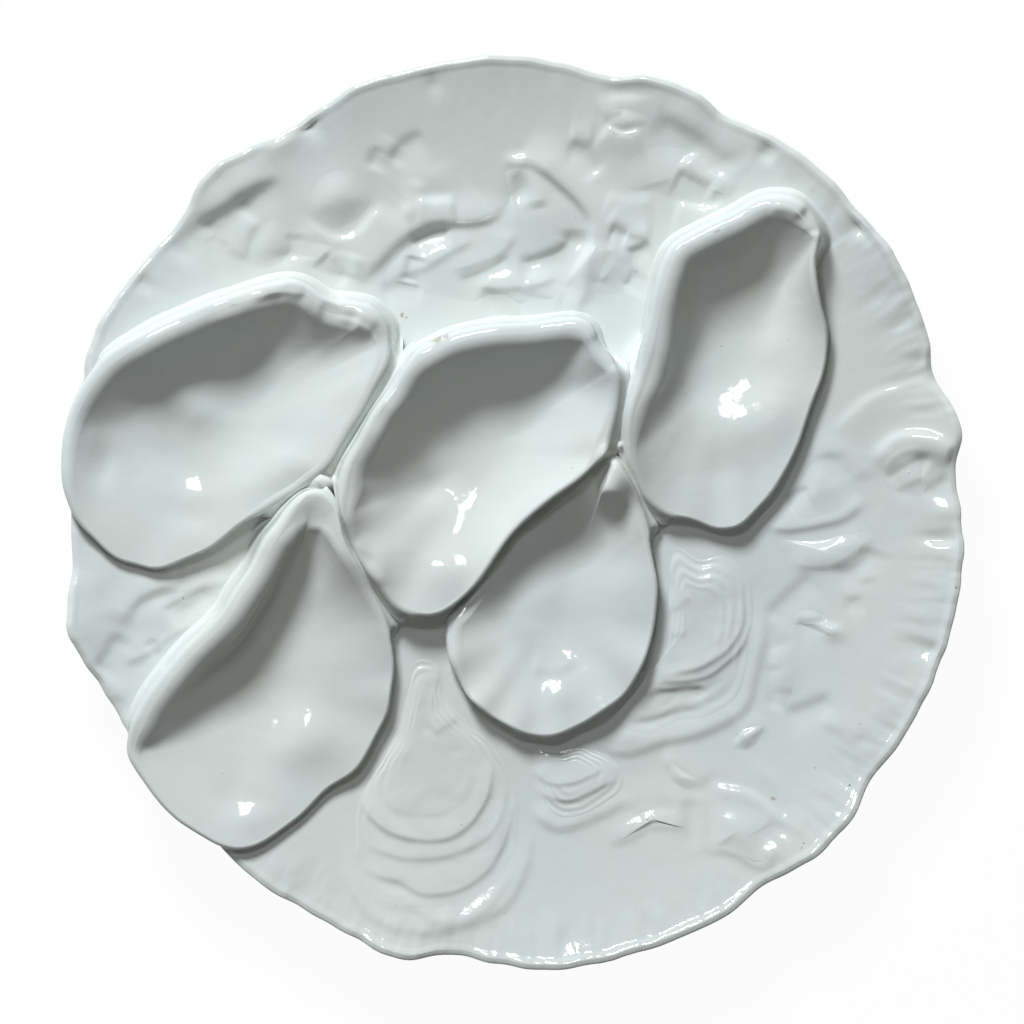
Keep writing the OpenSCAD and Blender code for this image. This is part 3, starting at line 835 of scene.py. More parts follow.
@dataclass(frozen=True)
class Mark:
    """A stain or speck fired into the glaze.

    Its place is in shares and its radius in mm. It stops at the height lowest, in mm,
    so that one on a lip doesn't run down the shell's side.
    """

    x: float
    y: float
    radius: float
    strength: float
    lowest: float = 0.0

    def mask(self, graph: Graph, flat: Wire, height: Wire) -> Wire:
        """Return a mask over the mark.

        Args:
            graph: the material's graph.
            flat: places seen from above, in metres.
            height: their heights in metres.

        Returns:
            The mark's strength on it and 0 around it.
        """
        middle = (self.x * PLATE_R * MM, self.y * PLATE_R * MM, 0.0)
        gap = graph.vector("DISTANCE", flat, middle, output="Value")
        core = MARK_CORE * self.radius * MM
        spot = (1.0 - gap.eased(core, self.radius * MM)) * self.strength
        if self.lowest:
            spot = spot * height.eased(self.lowest * MM, (self.lowest + MARK_FADE) * MM)
        return spot


# A mark's full core as a share of its radius, and the height in mm over which it stops
MARK_CORE = 0.35
MARK_FADE = 0.8

STAINS = (
    Mark(-.165, .377, 1.7, .55, 18.0), Mark(-.145, .384, 1.2, .45, 18.0),
    Mark(-.24, .43, .8, .6), Mark(.57, -.625, .7, .5), Mark(-.67, -.742, 2.4, .35),
)
SPECKS = (
    Mark(-.178, .372, .35, .7, 18.0), Mark(-.158, .381, .3, .8, 18.0),
    Mark(-.23, .425, .3, .8), Mark(.63, -.73, .4, .8), Mark(.634, -.722, .3, .6),
    Mark(.66, -.557, .3, .7), Mark(.735, -.595, .3, .7), Mark(.295, -.672, .28, .7),
    Mark(-.11, -.685, .3, .7), Mark(-.717, -.187, .3, .6), Mark(.967, -.164, .35, .8),
)


@dataclass(frozen=True)
class Finish:
    """What every finish shares: how it becomes a material."""

    body: Colour = linear(219, 222, 218)
    index: float = 1.52

    def material(self, name: str) -> bpy.types.Material:
        """Build the finish as a material."""
        made = bpy.data.materials.new(name)
        made.use_nodes = True
        made.node_tree.nodes.clear()
        graph = Graph(made.node_tree)
        place = graph.wire("ShaderNodeTexCoord", output="Object")
        graph.node("ShaderNodeOutputMaterial", values={"Surface": self.shaded(graph, place)})
        return made

    def shaded(self, graph: Graph, place: Wire) -> Wire:
        """Return the shader at places on the object."""
        colour, rough, bump = self.surface(graph, place)
        return graph.wire("ShaderNodeBsdfPrincipled", values={
            "Base Color": colour, "Roughness": rough, "IOR": self.index, "Normal": bump})

    def surface(self, graph: Graph, place: Wire) -> tuple[Wire, Wire, Wire]:
        """Return the colour, roughness and normal at places on the object."""
        raise NotImplementedError


@dataclass(frozen=True)
class ClearGlaze(Finish):
    """Clear glossy glaze over white porcelain, a little green where it pools, with shade painted
    darker into creases and hollows.
    """

    drift: Colour = linear(215, 221, 219)
    # Pooled glaze tint, which also serves as painted shade in creases, hollows and bowl floors
    pool_and_shade_tint: Colour = linear(180, 187, 176)
    thin: Colour = linear(222, 226, 223)
    stain: Colour = linear(150, 112, 62)
    speck: Colour = linear(52, 46, 40)
    cloud: Grain = Grain(22.0, 4.0, 0.55)
    cloud_edge: tuple[float, float] = (0.35, 0.65)
    pool_grain: Grain = Grain(160.0, 3.0)
    pool_unevenness: float = 0.16
    full_thinness: float = 0.6
    shake: Grain = Grain(900.0, 3.0)
    shake_reach: float = 1.6
    pinhole_scale: float = 58.0
    pinhole_rarity: float = 0.86
    pinhole_edge: tuple[float, float] = (0.004, 0.0105)
    pinhole_strength: float = 0.75
    skin: Grain = Grain(190.0, 2.0, 0.45)
    fine_skin: Grain = Grain(1100.0)
    fine_share: float = 0.06
    speck_depth: float = 0.5
    ripple: float = 0.10
    ripple_height: float = 1.2
    roughness: float = 0.07
    cloud_roughness: float = 0.04
    speck_roughness: float = 0.4

    def masked(self, graph: Graph, flat: Wire, height: Wire, marks: tuple[Mark, ...]) -> Wire:
        """Return a mask that covers the marks, from places seen from above and heights."""
        first, *others = [mark.mask(graph, flat, height) for mark in marks]
        for other in others:
            first = first.larger(other)
        return first

    def pinholes(self, graph: Graph, flat: Wire) -> Wire:
        """Return a mask that covers a few pinholes, from places seen from above."""
        holes = graph.node("ShaderNodeTexVoronoi", {"voronoi_dimensions": "2D"},
                           {"Vector": flat, "Scale": self.pinhole_scale})
        gap = Wire(graph.tree, holes.outputs["Distance"])
        picked = graph.axes(Wire(graph.tree, holes.outputs["Color"]))[0] > self.pinhole_rarity
        return (1.0 - gap.eased(*self.pinhole_edge)) * picked * self.pinhole_strength

    def shaken(self, graph: Graph, place: Wire) -> Wire:
        """Return places seen from above, shaken a little so that marks have uneven edges."""
        reach = self.shake_reach * MM
        wobble = graph.noise(place, self.shake, output="Color")
        moved = graph.vector("MULTIPLY_ADD", wobble, (reach, reach, 0.0), place)
        flat = graph.vector("MULTIPLY", moved, (1.0, 1.0, 0.0))
        return graph.vector("SUBTRACT", flat, (reach / 2, reach / 2, 0.0))

    def surface(self, graph: Graph, place: Wire) -> tuple[Wire, Wire, Wire]:
        """Return the colour, roughness and normal at places on the object."""
        flat = self.shaken(graph, place)
        height = graph.axes(place)[2]
        cloud = graph.noise(place, self.cloud)
        # Pooled glaze and painted shade from the mesh attribute: darker in recesses, lighter on
        # ridges
        pool_and_shade = graph.wire("ShaderNodeAttribute", {"attribute_name": "pooling_and_shade"}, output="Fac")
        pool_and_shade = pool_and_shade + (graph.noise(place, self.pool_grain) - 0.5) * self.pool_unevenness
        colour = graph.mixed(cloud.eased(*self.cloud_edge), self.body, self.drift)
        colour = graph.mixed(pool_and_shade.eased(0.0, 1.0), colour, self.pool_and_shade_tint)
        colour = graph.mixed((0.0 - pool_and_shade).eased(0.0, self.full_thinness), colour, self.thin)
        colour = graph.mixed(self.masked(graph, flat, height, STAINS), colour, self.stain)
        dark = self.masked(graph, flat, height, SPECKS).larger(self.pinholes(graph, flat))
        colour = graph.mixed(dark, colour, self.speck)
        skin = graph.noise(place, self.skin) + graph.noise(place, self.fine_skin) * self.fine_share
        bump = graph.wire("ShaderNodeBump", values={
            "Strength": self.ripple, "Distance": self.ripple_height * MM,
            "Height": skin - dark * self.speck_depth})
        rough = self.roughness + (cloud - 0.5) * self.cloud_roughness + dark * self.speck_roughness
        return colour, rough, bump


@dataclass(frozen=True)
class BareFoot(Finish):
    """Porcelain glazed on its sides, with the resting face wiped bare before firing."""

    bare: Colour = linear(222, 216, 203)
    grime: Colour = linear(168, 158, 140)
    bare_height: float = 0.55
    bare_fade: float = 0.25
    edge: Grain = Grain(320.0, 3.0)
    edge_unevenness: float = 0.5
    dust: Grain = Grain(900.0, 5.0, 0.7)
    dust_edge: tuple[float, float] = (0.52, 0.75)
    dust_strength: float = 0.25
    dust_height: float = 0.3
    roughness: float = 0.08
    bare_roughness: float = 0.62

    def surface(self, graph: Graph, place: Wire) -> tuple[Wire, Wire, Wire]:
        """Return the colour, roughness and normal at places on the object."""
        edge = graph.noise(place, self.edge)
        level = graph.axes(place)[2] + (edge - 0.5) * (self.edge_unevenness * MM)
        end = self.bare_height + self.bare_fade
        bare = 1.0 - level.eased(self.bare_height * MM, end * MM)
        dust = graph.noise(place, self.dust)
        worn = graph.mixed(dust.eased(*self.dust_edge), self.bare, self.grime)
        colour = graph.mixed(bare, self.body, worn)
        bump = graph.wire("ShaderNodeBump", values={
            "Strength": self.dust_strength, "Distance": self.dust_height * MM,
            "Height": dust * bare})
        return colour, self.roughness + bare * self.bare_roughness, bump


# The plate

@dataclass
class PlateBody:
    """The round plate with its scalloped, lobed and finely fluted rim.

    Rows of rim are a bearing and a share of the radius, rows of edge_section are
    inset and drop in mm. The flutes are firm towards firm_way, and left out around
    the place spared, where the scroll is.
    """

    node: str = "plate_body"
    sectors: int = 960
    rim: Points = (
        (0, .980), (5, .972), (10, .997), (14, .987), (18, .967), (22, .984),
        (27, .994), (34, 1.007), (41, 1.002), (48, 1.007), (55, 1.0), (62, .985),
        (67, 1.003), (73, .998), (78, .977), (84, .989), (91, 1.0), (97, .998),
        (103, .995), (110, .995), (116, .977), (122, .972), (131, .999),
        (139, .967), (146, .975), (153, .989), (158, .992), (163, .980),
        (171, .966), (179, .964), (187, .968), (195, 1.004), (203, .975),
        (209, .966), (218, .966), (227, .966), (235, .980), (243, .980),
        (250, .992), (256, 1.007), (262, .976), (268, .987), (275, 1.004),
        (283, 1.002), (291, 1.0), (298, .998), (304, .984), (311, 1.003),
        (318, 1.0), (323, .979), (330, .987), (338, .991), (346, .993), (354, .991))
    rim_steps: int = 24
    edge_section: Points = (
        (1.5, 0.02), (1.25, 0.04), (0.9, 0.11), (0.5, 0.19), (0.25, 0.28), (0.1, 0.42),
        (0.02, 0.7), (0.0, 1.0),
        (0.15, 1.7), (0.6, 2.4), (1.4, 2.9), (2.6, 3.2))
    edge_inset: float = 0.12
    edge_bumps: float = 0.16
    bump_counts: tuple[int, int] = (36, 84)
    edge_pooling: float = -0.35
    shells: tuple["ShellCup", ...] = ()
    lobe_rise: float = 1.0
    lobe_mean: float = 0.985
    lobe_spread: float = 0.02
    lobe_start: float = 0.8
    top_rings: tuple[tuple[float, float, int], ...] = ((0.06, 0.44, 8), (0.48, 0.978, 56))
    under_rings: tuple[float, ...] = (
        0.95, 0.92, 0.88, 0.84, 0.8, 0.76, 0.72, 0.69, 0.66, 0.63, 0.6, 0.5, 0.3)
    under_pooling: float = 0.1
    flute_depth: float = 0.45
    flutes: float = 62.0
    flute_start: float = 0.86
    flute_onset: float = 12.0
    flute_end: tuple[float, float] = (1.1, 1.6)
    flute_stretch: float = 6.0
    flute_drift: float = 3.0
    flute_grain: Grain = Grain(2.6, 2.0, 0.6)
    firm_way: tuple[float, float] = (0.77, -0.64)
    firm_edge: tuple[float, float] = (-0.3, 0.5)
    faintest: float = 0.2
    spared: tuple[float, float] = (0.905, 0.085)
    spared_edge: tuple[float, float] = (0.0075, 0.02)
    seed: int = 11
    seed_shift: float = 1.7

    def edge(self) -> Array:
        """Return the rim's outline in mm, with its small uneven scallops."""
        rows = [(r * math.cos(math.radians(a)), r * math.sin(math.radians(a)))
                for a, r in self.rim]
        dense = spline(np.array(rows), self.rim_steps, closed=True) * PLATE_R
        bearing = bearings(dense) % (2.0 * math.pi)
        order = np.argsort(bearing)
        turn = np.linspace(0.0, 2.0 * math.pi, self.sectors, endpoint=False)
        found = np.interp(turn, bearing[order], np.hypot(*dense.T)[order], period=2.0 * math.pi)
        bumps = wander(self.sectors, self.seed, *self.bump_counts).clip(-1, 1)
        found -= self.edge_inset + self.edge_bumps * (1.0 + bumps)
        return np.stack([np.cos(turn), np.sin(turn)], axis=1) * found[:, None]

    def lobe(self, edge: Array) -> Array:
        """Return how far each lobe lifts the rim above its mean line."""
        return self.lobe_rise * (np.hypot(*edge.T) / PLATE_R - self.lobe_mean) / self.lobe_spread

    def lobe_share(self, share: Array | float) -> Array:
        """Return how much of a lobe's lift is felt at a share of the way out."""
        return np.maximum(0.0, (share - self.lobe_start) / (1.0 - self.lobe_start)) ** 2

    def lift_at(self, x: Array, y: Array) -> Array:
        """Return how far the lobes lift the plate's top at places x, y in mm."""
        edge = self.edge()
        turn = np.linspace(0.0, 2.0 * math.pi, self.sectors, endpoint=False)
        bearing = np.arctan2(y, x) % (2.0 * math.pi)
        reach = np.interp(bearing, turn, np.hypot(*edge.T), period=2.0 * math.pi)
        lift = np.interp(bearing, turn, self.lobe(edge), period=2.0 * math.pi)
        return lift * self.lobe_share(np.hypot(x, y) / reach)

    def form(self) -> RingedForm:
        """Shape the plate from the middle of its top to the middle of its underside."""
        edge = self.edge()
        radius = np.hypot(*edge.T)[:, None]
        lift = self.lobe(edge)
        solid = RingedForm(np.array([0.0, 0.0, MIDDLE_Z]))
        for share in np.concatenate([np.linspace(*rings) for rings in self.top_rings]):
            place = edge * share
            touched = modelled(SHORE, *place.T)
            height = plate_top(*place.T) + touched + lift * self.lobe_share(share)
            height -= sum(shell.well(*place.T) for shell in self.shells)
            solid.add(place, height, pooled_and_shaded(touched), share)
        mean = plate_top(*edge.T) + lift
        for inset, drop in self.edge_section:
            solid.add(edge * (1.0 - inset / radius), mean - drop, self.edge_pooling)
        for share in self.under_rings:
            place = edge * share
            solid.add(place, plate_under(*place.T), self.under_pooling, HIDDEN_SIDE)
        return solid

    def firmness(self, graph: Graph, x: Wire, y: Wire) -> Wire:
        """Return how firmly the flutes are pressed: faint up left, none round the scroll."""
        unit = 1.0 / (PLATE_R * MM)
        toward = (x * self.firm_way[0] + y * self.firm_way[1]) * unit
        firm = toward.eased(*self.firm_edge) * (1.0 - self.faintest) + self.faintest
        from_x, from_y = (axis - spot / unit for axis, spot in zip((x, y), self.spared))
        away = (from_x * from_x + from_y * from_y) * unit ** 2
        return firm * away.eased(*self.spared_edge)

    def fluting(self) -> Rule:
        """Return the rule that presses fine radial flutes into the rim's top."""
        rule = Rule("rim_flutes", {"Depth": "float", "Flutes": "float", "Start": "float",
                                   "Seed": "int"})
        graph = rule.graph
        x, y, _ = graph.axes(graph.wire("GeometryNodeInputPosition"))
        share = rule.share()
        turn = y.turn_of(x) * rule.value("Flutes")
        ring = graph.wire("ShaderNodeCombineXYZ", values={
            0: turn / self.flute_stretch, 1: share * self.flute_drift,
            2: rule.value("Seed") * self.seed_shift})
        drawn_share = graph.noise(ring, self.flute_grain)
        inside = ((share - rule.value("Start")) * self.flute_onset).eased(0.0, 1.0)
        outside = 1.0 - share.eased(*self.flute_end)
        firm = self.firmness(graph, x, y)
        drop = (drawn_share - 0.5) * 2.0 * inside * outside * firm * rule.value("Depth")
        rule.close(rule.value("Geometry"), drop)
        return rule

    def build(self, glaze: bpy.types.Material) -> bpy.types.Object:
        """Make the plate and seat it."""
        mesh = self.form().mesh(self.node, np.array([0.0, 0.0, FOOT_H]))
        piece = placed(f"{self.node}_glazed", mesh, glaze)
        self.fluting().run(piece, {
            "Depth": self.flute_depth * MM, "Flutes": self.flutes, "Start": self.flute_start,
            "Seed": self.seed, "Material": glaze})
        return seated(piece, self.node)


@dataclass
class FootRing:
    """The turned ring that the plate rests on."""

    node: str = "foot_ring"
    outer_r: float = 62.0
    width: float = 5.0
    face: float = 2.4
    soften: float = 0.7
    sides: int = 240
    corner_points: int = 6

    def sweep(self) -> Rule:
        """Return the rule that sweeps the foot's section round a circle."""
        rule = Rule("foot_sweep", {"Radius": "float", "Top Width": "float",
                                   "Face Width": "float", "Height": "float",
                                   "Soften": "float"})
        graph = rule.graph
        path = graph.wire("GeometryNodeCurvePrimitiveCircle", {"mode": "RADIUS"},
                          {"Resolution": self.sides, "Radius": rule.value("Radius")})
        section = graph.wire("GeometryNodeCurvePrimitiveQuadrilateral", {"mode": "TRAPEZOID"}, {
            "Height": rule.value("Height"), "Bottom Width": rule.value("Top Width"),
            "Top Width": rule.value("Face Width"), "Offset": 0.0})
        soft = graph.wire("GeometryNodeFilletCurve", {"mode": "POLY"}, {
            "Curve": section, "Count": self.corner_points, "Radius": rule.value("Soften"),
            "Limit Radius": True})
        ring = graph.wire("GeometryNodeCurveToMesh", values={
            "Curve": path, "Profile Curve": soft})
        rule.close(ring, rule.value("Height") * 0.5)
        return rule

    def build(self, finish: bpy.types.Material) -> bpy.types.Object:
        """Make the foot ring and seat it."""
        piece = placed(f"{self.node}_dressed", bpy.data.meshes.new(self.node), finish)
        self.sweep().run(piece, {
            "Radius": (self.outer_r - self.width / 2) * MM, "Top Width": self.width * MM,
            "Face Width": self.face * MM, "Height": FOOT_H * MM, "Soften": self.soften * MM,
            "Material": finish})
        piece.data.shade_smooth()
        if signed_volume(piece.data) < 0.0:
            piece.data.flip_normals()
        return seated(piece, self.node)


def signed_volume(mesh: bpy.types.Mesh) -> float:
    """Return a closed mesh's volume, negative where its faces point inwards."""
    mesh.calc_loop_triangles()
    corners = np.array([[mesh.vertices[v].co for v in tri.vertices]
                        for tri in mesh.loop_triangles])
    return float(np.einsum("ij,ij->i", corners[:, 0],
                           np.cross(corners[:, 1], corners[:, 2])).sum() / 6.0)


# The open shells

# A gap in mm that stands for no neighbour
NO_NEIGHBOUR = 1000.0


def blended(first: Array | float, second: Array | float, share: Array) -> Array:
    """Blend from the first value to the second by a share from 0 to 1."""
    return first * (1.0 - share) + second * share


def turned_to(bearing: Array, towards: float, level: float, swing: float) -> Array:
    """Return 1 where bearings look towards an angle in degrees, easing to 0 away from it."""
    return smooth(level + swing * np.cos(bearing - math.radians(towards)))


@dataclass(frozen=True)
class Bowl:
    """How a shell is hollowed, in mm, degrees and shares."""

    rings: int = 56
    first_ring: float = 0.03
    crowding: float = 1.4
    gentle_bend: float = 0.5
    steep_power: float = 4.5
    steep_bearing: float = 115.0
    steep_level: float = 0.45
    steep_swing: float = 0.75
    floor_tilt: float = 0.05
    least_floor: float = 0.9
    floor_blend: float = 0.25
    # Painted shade with pooled glaze: the bowl's floor is tinted darker towards its middle
    pooling_and_shade: float = 0.25
    well_depth: float = 1.5
    well_reach: float = 0.9
    well_blend: float = 0.2
    marks: int = 16
    mark_places: tuple[float, float] = (0.03, 0.85)
    mark_lengths: tuple[float, float] = (0.045, 0.09)
    mark_widths: tuple[float, float] = (0.035, 0.055)
    mark_heights: tuple[float, float] = (-0.5, 0.4)

    def whole_bend(self) -> float:
        """Return the rise of the gentle side's curve before it is scaled to 1."""
        return (1.0 + self.gentle_bend ** 3) ** (1 / 3) - self.gentle_bend

    def rise(self, share: float, steep: Array) -> Array:
        """Return how far the bowl has risen, from 0 to 1, at a share of the way out."""
        gentle = (share ** 3 + self.gentle_bend ** 3) ** (1 / 3) - self.gentle_bend
        gentle /= self.whole_bend()
        return gentle + (share ** self.steep_power - gentle) * steep

    def lean(self, steep: Array) -> Array:
        """Return how fast the bowl rises where it meets the lip."""
        gentle = self.whole_bend() * (1.0 + self.gentle_bend ** 3) ** (2 / 3)
        return (1.0 - steep) / gentle + self.steep_power * steep

    def shares(self) -> Array:
        """Return the rings' shares of the way out, closer together near the lip."""
        even = np.linspace(self.first_ring, 1.0, self.rings)
        return 1.0 - (1.0 - even) ** self.crowding


@dataclass(frozen=True)
class Roll:
    """How a shell's lip is rolled, in mm, degrees and shares."""

    unevenness: float = 0.2
    bump_counts: tuple[int, int] = (6, 20)
    inset: float = 0.25
    height_unevenness: float = 0.35
    height_loss: float = 0.4
    least_stand: float = 2.2
    stand_blend: float = 0.5
    front_height: float = 0.86
    front_blend: float = 0.2
    front_drop: float = 3.2
    upper_bearing: float = 112.0
    upper_level: float = 0.35
    upper_swing: float = 0.8
    inner: tuple[float, float] = (1.1, 3.5)
    outer: tuple[float, float] = (0.8, 1.5)
    join_gap: float = 0.085
    join_blend: float = 0.03
    join_view: float = 0.35
    join_room: float = 0.42
    join_swell: float = 0.6
    join_stop: float = 60.0
    knob_drop: float = 0.12
    knob_blend: float = 2.0
    knob_rings: tuple[float, ...] = (0.75, 0.5, 0.25, 0.0)
    inner_rings: tuple[float, float, int] = (0.1, 1.0, 12)
    outer_rings: tuple[float, float, int] = (0.12, 1.0, 8)
    undercut_stop: float = 108.0
    standing_stop: float = 50.0
    standing_level: float = 0.02
    standing_blend: float = 0.04
    shelf: float = 0.9
    shelf_start: float = 0.37
    shelf_drop: float = 0.2
    rim_share: float = 0.97
    rim_blend: float = 0.05
    pooling_and_shade: float = -0.1

    def drop(self, height: Array) -> Array:
        """Return how far the low front of a lip drops, in mm, by its height share."""
        return self.front_drop * smooth((self.front_height - height) / self.front_blend)


@dataclass(frozen=True)
class Flank:
    """How a shell's flank comes down to the plate, in mm and shares."""

    rings: tuple[float, float, int] = (0.06, 1.0, 18)
    # How dark the middle of the flank is tinted: pooled glaze and painted shade
    pooling_and_shade: float = 0.6
    undercut_share: float = 0.5
    skirt: float = 1.2
    standing_skirt: float = 2.5
    standing_level: float = 0.01
    standing_blend: float = 0.03
    least_skirt: float = 1.0
    rim_share: float = 0.962
    least_slope: float = 0.25
    sink: float = 0.05
    valley_place: float = 0.56
    valley_over: float = 0.3
    valley_depth: float = 1.0
    valley_share: float = 0.25
    valley_rise: float = 0.5
    toe: float = 0.8
    toe_share: float = 0.7
    toe_limit: float = 0.6
    drop_share: float = 0.34
    width_share: float = 0.35
    open_level: float = 0.1
    open_blend: float = 0.5
    least_run: float = 0.2
    toe_rings: Points = ((0.3, 0.04), (0.6, 0.2), (0.6, 0.9))
    seat_rings: tuple[float, ...] = (0.85, 0.5)
    seat_depth: float = 0.4


@dataclass
class Lip:
    """A shell's lip in rows round the cup: places, ways, sizes in mm and shares."""

    crest: Array
    out: Array
    into: Array
    top: Array
    flank: Array
    thick: Array
    steep: Array
    facing: Array
    joined: Array
    gap: Array
    shared: Array
    inner_roll: Array
    outer_roll: Array
    start: Array

    def inner_height(self, turn: Array, knob_drop: float) -> Array:
        """Return the height of the roll's inner side at its angles in radians."""
        return self.top - self.inner_roll * (1.0 - np.sin(turn)) - knob_drop * self.thick


@dataclass
class ShellCup:
    """An open oyster shell: hollow, rolled lip, flank and a seat luted to the plate.

    Each row of the lip is x, y, height and flank: the crest's place, its
    height as a share of the cup's, and how far the flank's foot stands out
    from the crest or, where negative, is undercut. Each knob is x, y, spread
    and width: where the lip thickens inwards, how far along, in shares, and
    by how much, in mm.
    """

    node: str
    lip: Points
    floor: tuple[float, float]
    touches: Touches
    seed: int
    knobs: Points = ()
    steps: int = 12
    mounds: Touches = ()
    sunk: float = 0.0
    bowl: Bowl = Bowl()
    roll: Roll = Roll()
    flank: Flank = Flank()
    edge_seed: int = 50
    mark_seed: int = 90
    neighbours: tuple["ShellCup", ...] = ()

    def crest(self) -> Array:
        """Return the lip's rows round the cup: x, y in mm, height and flank shares."""
        rows = spline(np.array(self.lip), self.steps, closed=True)
        rows[:, :2] *= PLATE_R
        return rows

    def middle(self) -> Array:
        """Return the place of the lowest part of the floor in mm."""
        return np.array(self.floor) * PLATE_R

    def well(self, x: Array, y: Array) -> Array:
        """Return how deep the shell is let into the plate's top at places x, y in mm."""
        middle = self.middle()
        away = self.crest()[:, :2] - middle
        bearing = bearings(away)
        order = np.argsort(bearing)
        reach = np.interp(np.arctan2(y - middle[1], x - middle[0]), bearing[order],
                          np.linalg.norm(away, axis=1)[order], period=2.0 * math.pi)
        share = np.hypot(x - middle[0], y - middle[1]) / reach
        bowl = self.bowl
        return bowl.well_depth * smooth((bowl.well_reach - share) / bowl.well_blend)

    def unevenness(self) -> Touches:
        """Return the thumb marks that the maker left in the bowl."""
        bowl = self.bowl
        source = np.random.default_rng(self.seed + self.mark_seed)
        edge = self.crest()[:, :2] / PLATE_R
        middle = np.array(self.floor)
        marks = []
        for _ in range(bowl.marks):
            rim = edge[source.integers(len(edge))]
            x, y = middle + (rim - middle) * math.sqrt(source.uniform(*bowl.mark_places))
            long, wide = source.uniform(*bowl.mark_lengths), source.uniform(*bowl.mark_widths)
            turn, height = source.uniform(0.0, 180.0), source.uniform(*bowl.mark_heights)
            marks.append(Swell(x, y, long, wide, turn, height))
        return tuple(marks) + self.mounds

    def leaning(self, crest: Array, out: Array) -> tuple[Array, Array]:
        """Find where the flank leans onto a neighbour's.

        Args:
            crest: the lip's places in mm.
            out: its outward directions.

        Returns:
            The gap to the nearest neighbour's lip in mm and that lip's height.
        """
        gap = np.full(len(crest), NO_NEIGHBOUR)
        level = np.full(len(crest), TOP_LIMIT)
        for other in self.neighbours:
            rows = other.crest()
            away = rows[None, :, :2] - crest[:, None]
            reach = np.linalg.norm(away, axis=2)
            facing = np.einsum("ijk,ik->ij", away, out) > self.roll.join_view * reach
            reach = np.where(facing, reach, NO_NEIGHBOUR)
            nearest = reach.argmin(axis=1)
            found = reach[np.arange(len(crest)), nearest]
            closer = found < gap
            gap = np.where(closer, found, gap)
            height = rows[nearest, 2]
            lip = MIDDLE_Z + CUP_H * height - self.roll.drop(height)
            level = np.where(closer, lip - other.sunk, level)
        return gap, level

    def tops(self, crest: Array, height: Array) -> Array:
        """Return the lip's heights in mm from its places and its height shares."""
        roll = self.roll
        top = MIDDLE_Z + CUP_H * height + roll.height_unevenness * wander(len(crest), self.seed)
        top = top - roll.height_loss - self.sunk - roll.drop(height)
        top = kept_above(top, plate_top(*crest.T) + roll.least_stand, roll.stand_blend)
        return np.minimum(top, TOP_LIMIT)

    def thickness(self, crest: Array) -> Array:
        """Return how much the knobs thicken the lip at its places, in mm."""
        thick = np.zeros(len(crest))
        for x, y, spread, width in self.knobs:
            away = np.linalg.norm(crest - np.array((x, y)) * PLATE_R, axis=1)
            thick += width * np.exp(-(away / (spread * PLATE_R)) ** 2)
        return thick

    def shaped_lip(self) -> Lip:
        """Work out the lip, so that its roll runs on from the bowl's slope."""
        roll, bowl = self.roll, self.bowl
        rows = self.crest()
        out = outward(rows[:, :2])
        gap, level = self.leaning(rows[:, :2], out)
        joined = smooth((roll.join_gap * PLATE_R - gap) / (roll.join_blend * PLATE_R))
        uneven = roll.unevenness * wander(len(rows), self.seed + self.edge_seed, *roll.bump_counts)
        crest = rows[:, :2] + out * (uneven - roll.inset)[:, None]
        facing = turned_to(bearings(out), roll.upper_bearing, roll.upper_level, roll.upper_swing)
        facing = np.maximum(facing, roll.join_swell * joined)
        inner_roll = roll.inner[0] + roll.inner[1] * facing
        outer_roll = roll.outer[0] + roll.outer[1] * facing
        outer_roll = blended(outer_roll, np.minimum(outer_roll, roll.join_room * gap), joined)
        thick = self.thickness(crest)
        top = self.tops(crest, rows[:, 2])
        away = crest - self.middle()
        reach = np.linalg.norm(away, axis=1)
        steep = turned_to(bearings(away), bowl.steep_bearing, bowl.steep_level, bowl.steep_swing)
        depth = top - inner_roll * 0.5 - float(plate_top(*self.middle()))
        pitch = np.arctan(bowl.lean(steep) * depth / (reach - inner_roll - thick))
        share_in = (thick / (thick + roll.knob_blend))[:, None]
        into = blended(-out, -away / reach[:, None], share_in)
        into /= np.linalg.norm(into, axis=1, keepdims=True)
        return Lip(crest, out, into, top, rows[:, 3], thick, steep, facing, joined, gap,
                   np.minimum(top, level), inner_roll, outer_roll, math.pi / 2 - pitch)

    def hollowed(self, lip: Lip) -> RingedForm:
        """Start the form with the bowl, from its floor up to the lip's inner side."""
        bowl, middle, bumps = self.bowl, self.middle(), self.unevenness()
        low = float(plate_top(*middle))
        inner = lip.crest + lip.into * (lip.thick + lip.inner_roll * np.cos(lip.start))[:, None]
        inner_z = lip.inner_height(lip.start, self.roll.knob_drop)
        mound = float(modelled(self.touches + bumps, *middle[:, None])[0])
        solid = RingedForm(np.array([*middle, low + mound]))
        soft, soft_z = rounded(inner), rounded(inner_z)
        for share in bowl.shares():
            crisp = share ** 3
            place = middle + (soft + (inner - soft) * crisp - middle) * share
            brim = soft_z + (inner_z - soft_z) * crisp
            tilt = bowl.floor_tilt * ((place - middle) @ np.array(PUSH)) * (1.0 - share ** 2) ** 2
            height = low + (brim - low) * bowl.rise(share, lip.steep) - tilt
            height += modelled(self.touches, *place.T)
            height += modelled(bumps, *place.T) * (1.0 - share ** 6)
            thinnest = plate_top(*place.T) + bowl.least_floor - self.well(*place.T)
            height = kept_above(height, thinnest, bowl.floor_blend)
            # The floor is tinted darker towards its middle, as pooled glaze and painted shade
            solid.add(place, height, bowl.pooling_and_shade * (1.0 - share ** 2), share)
        return solid

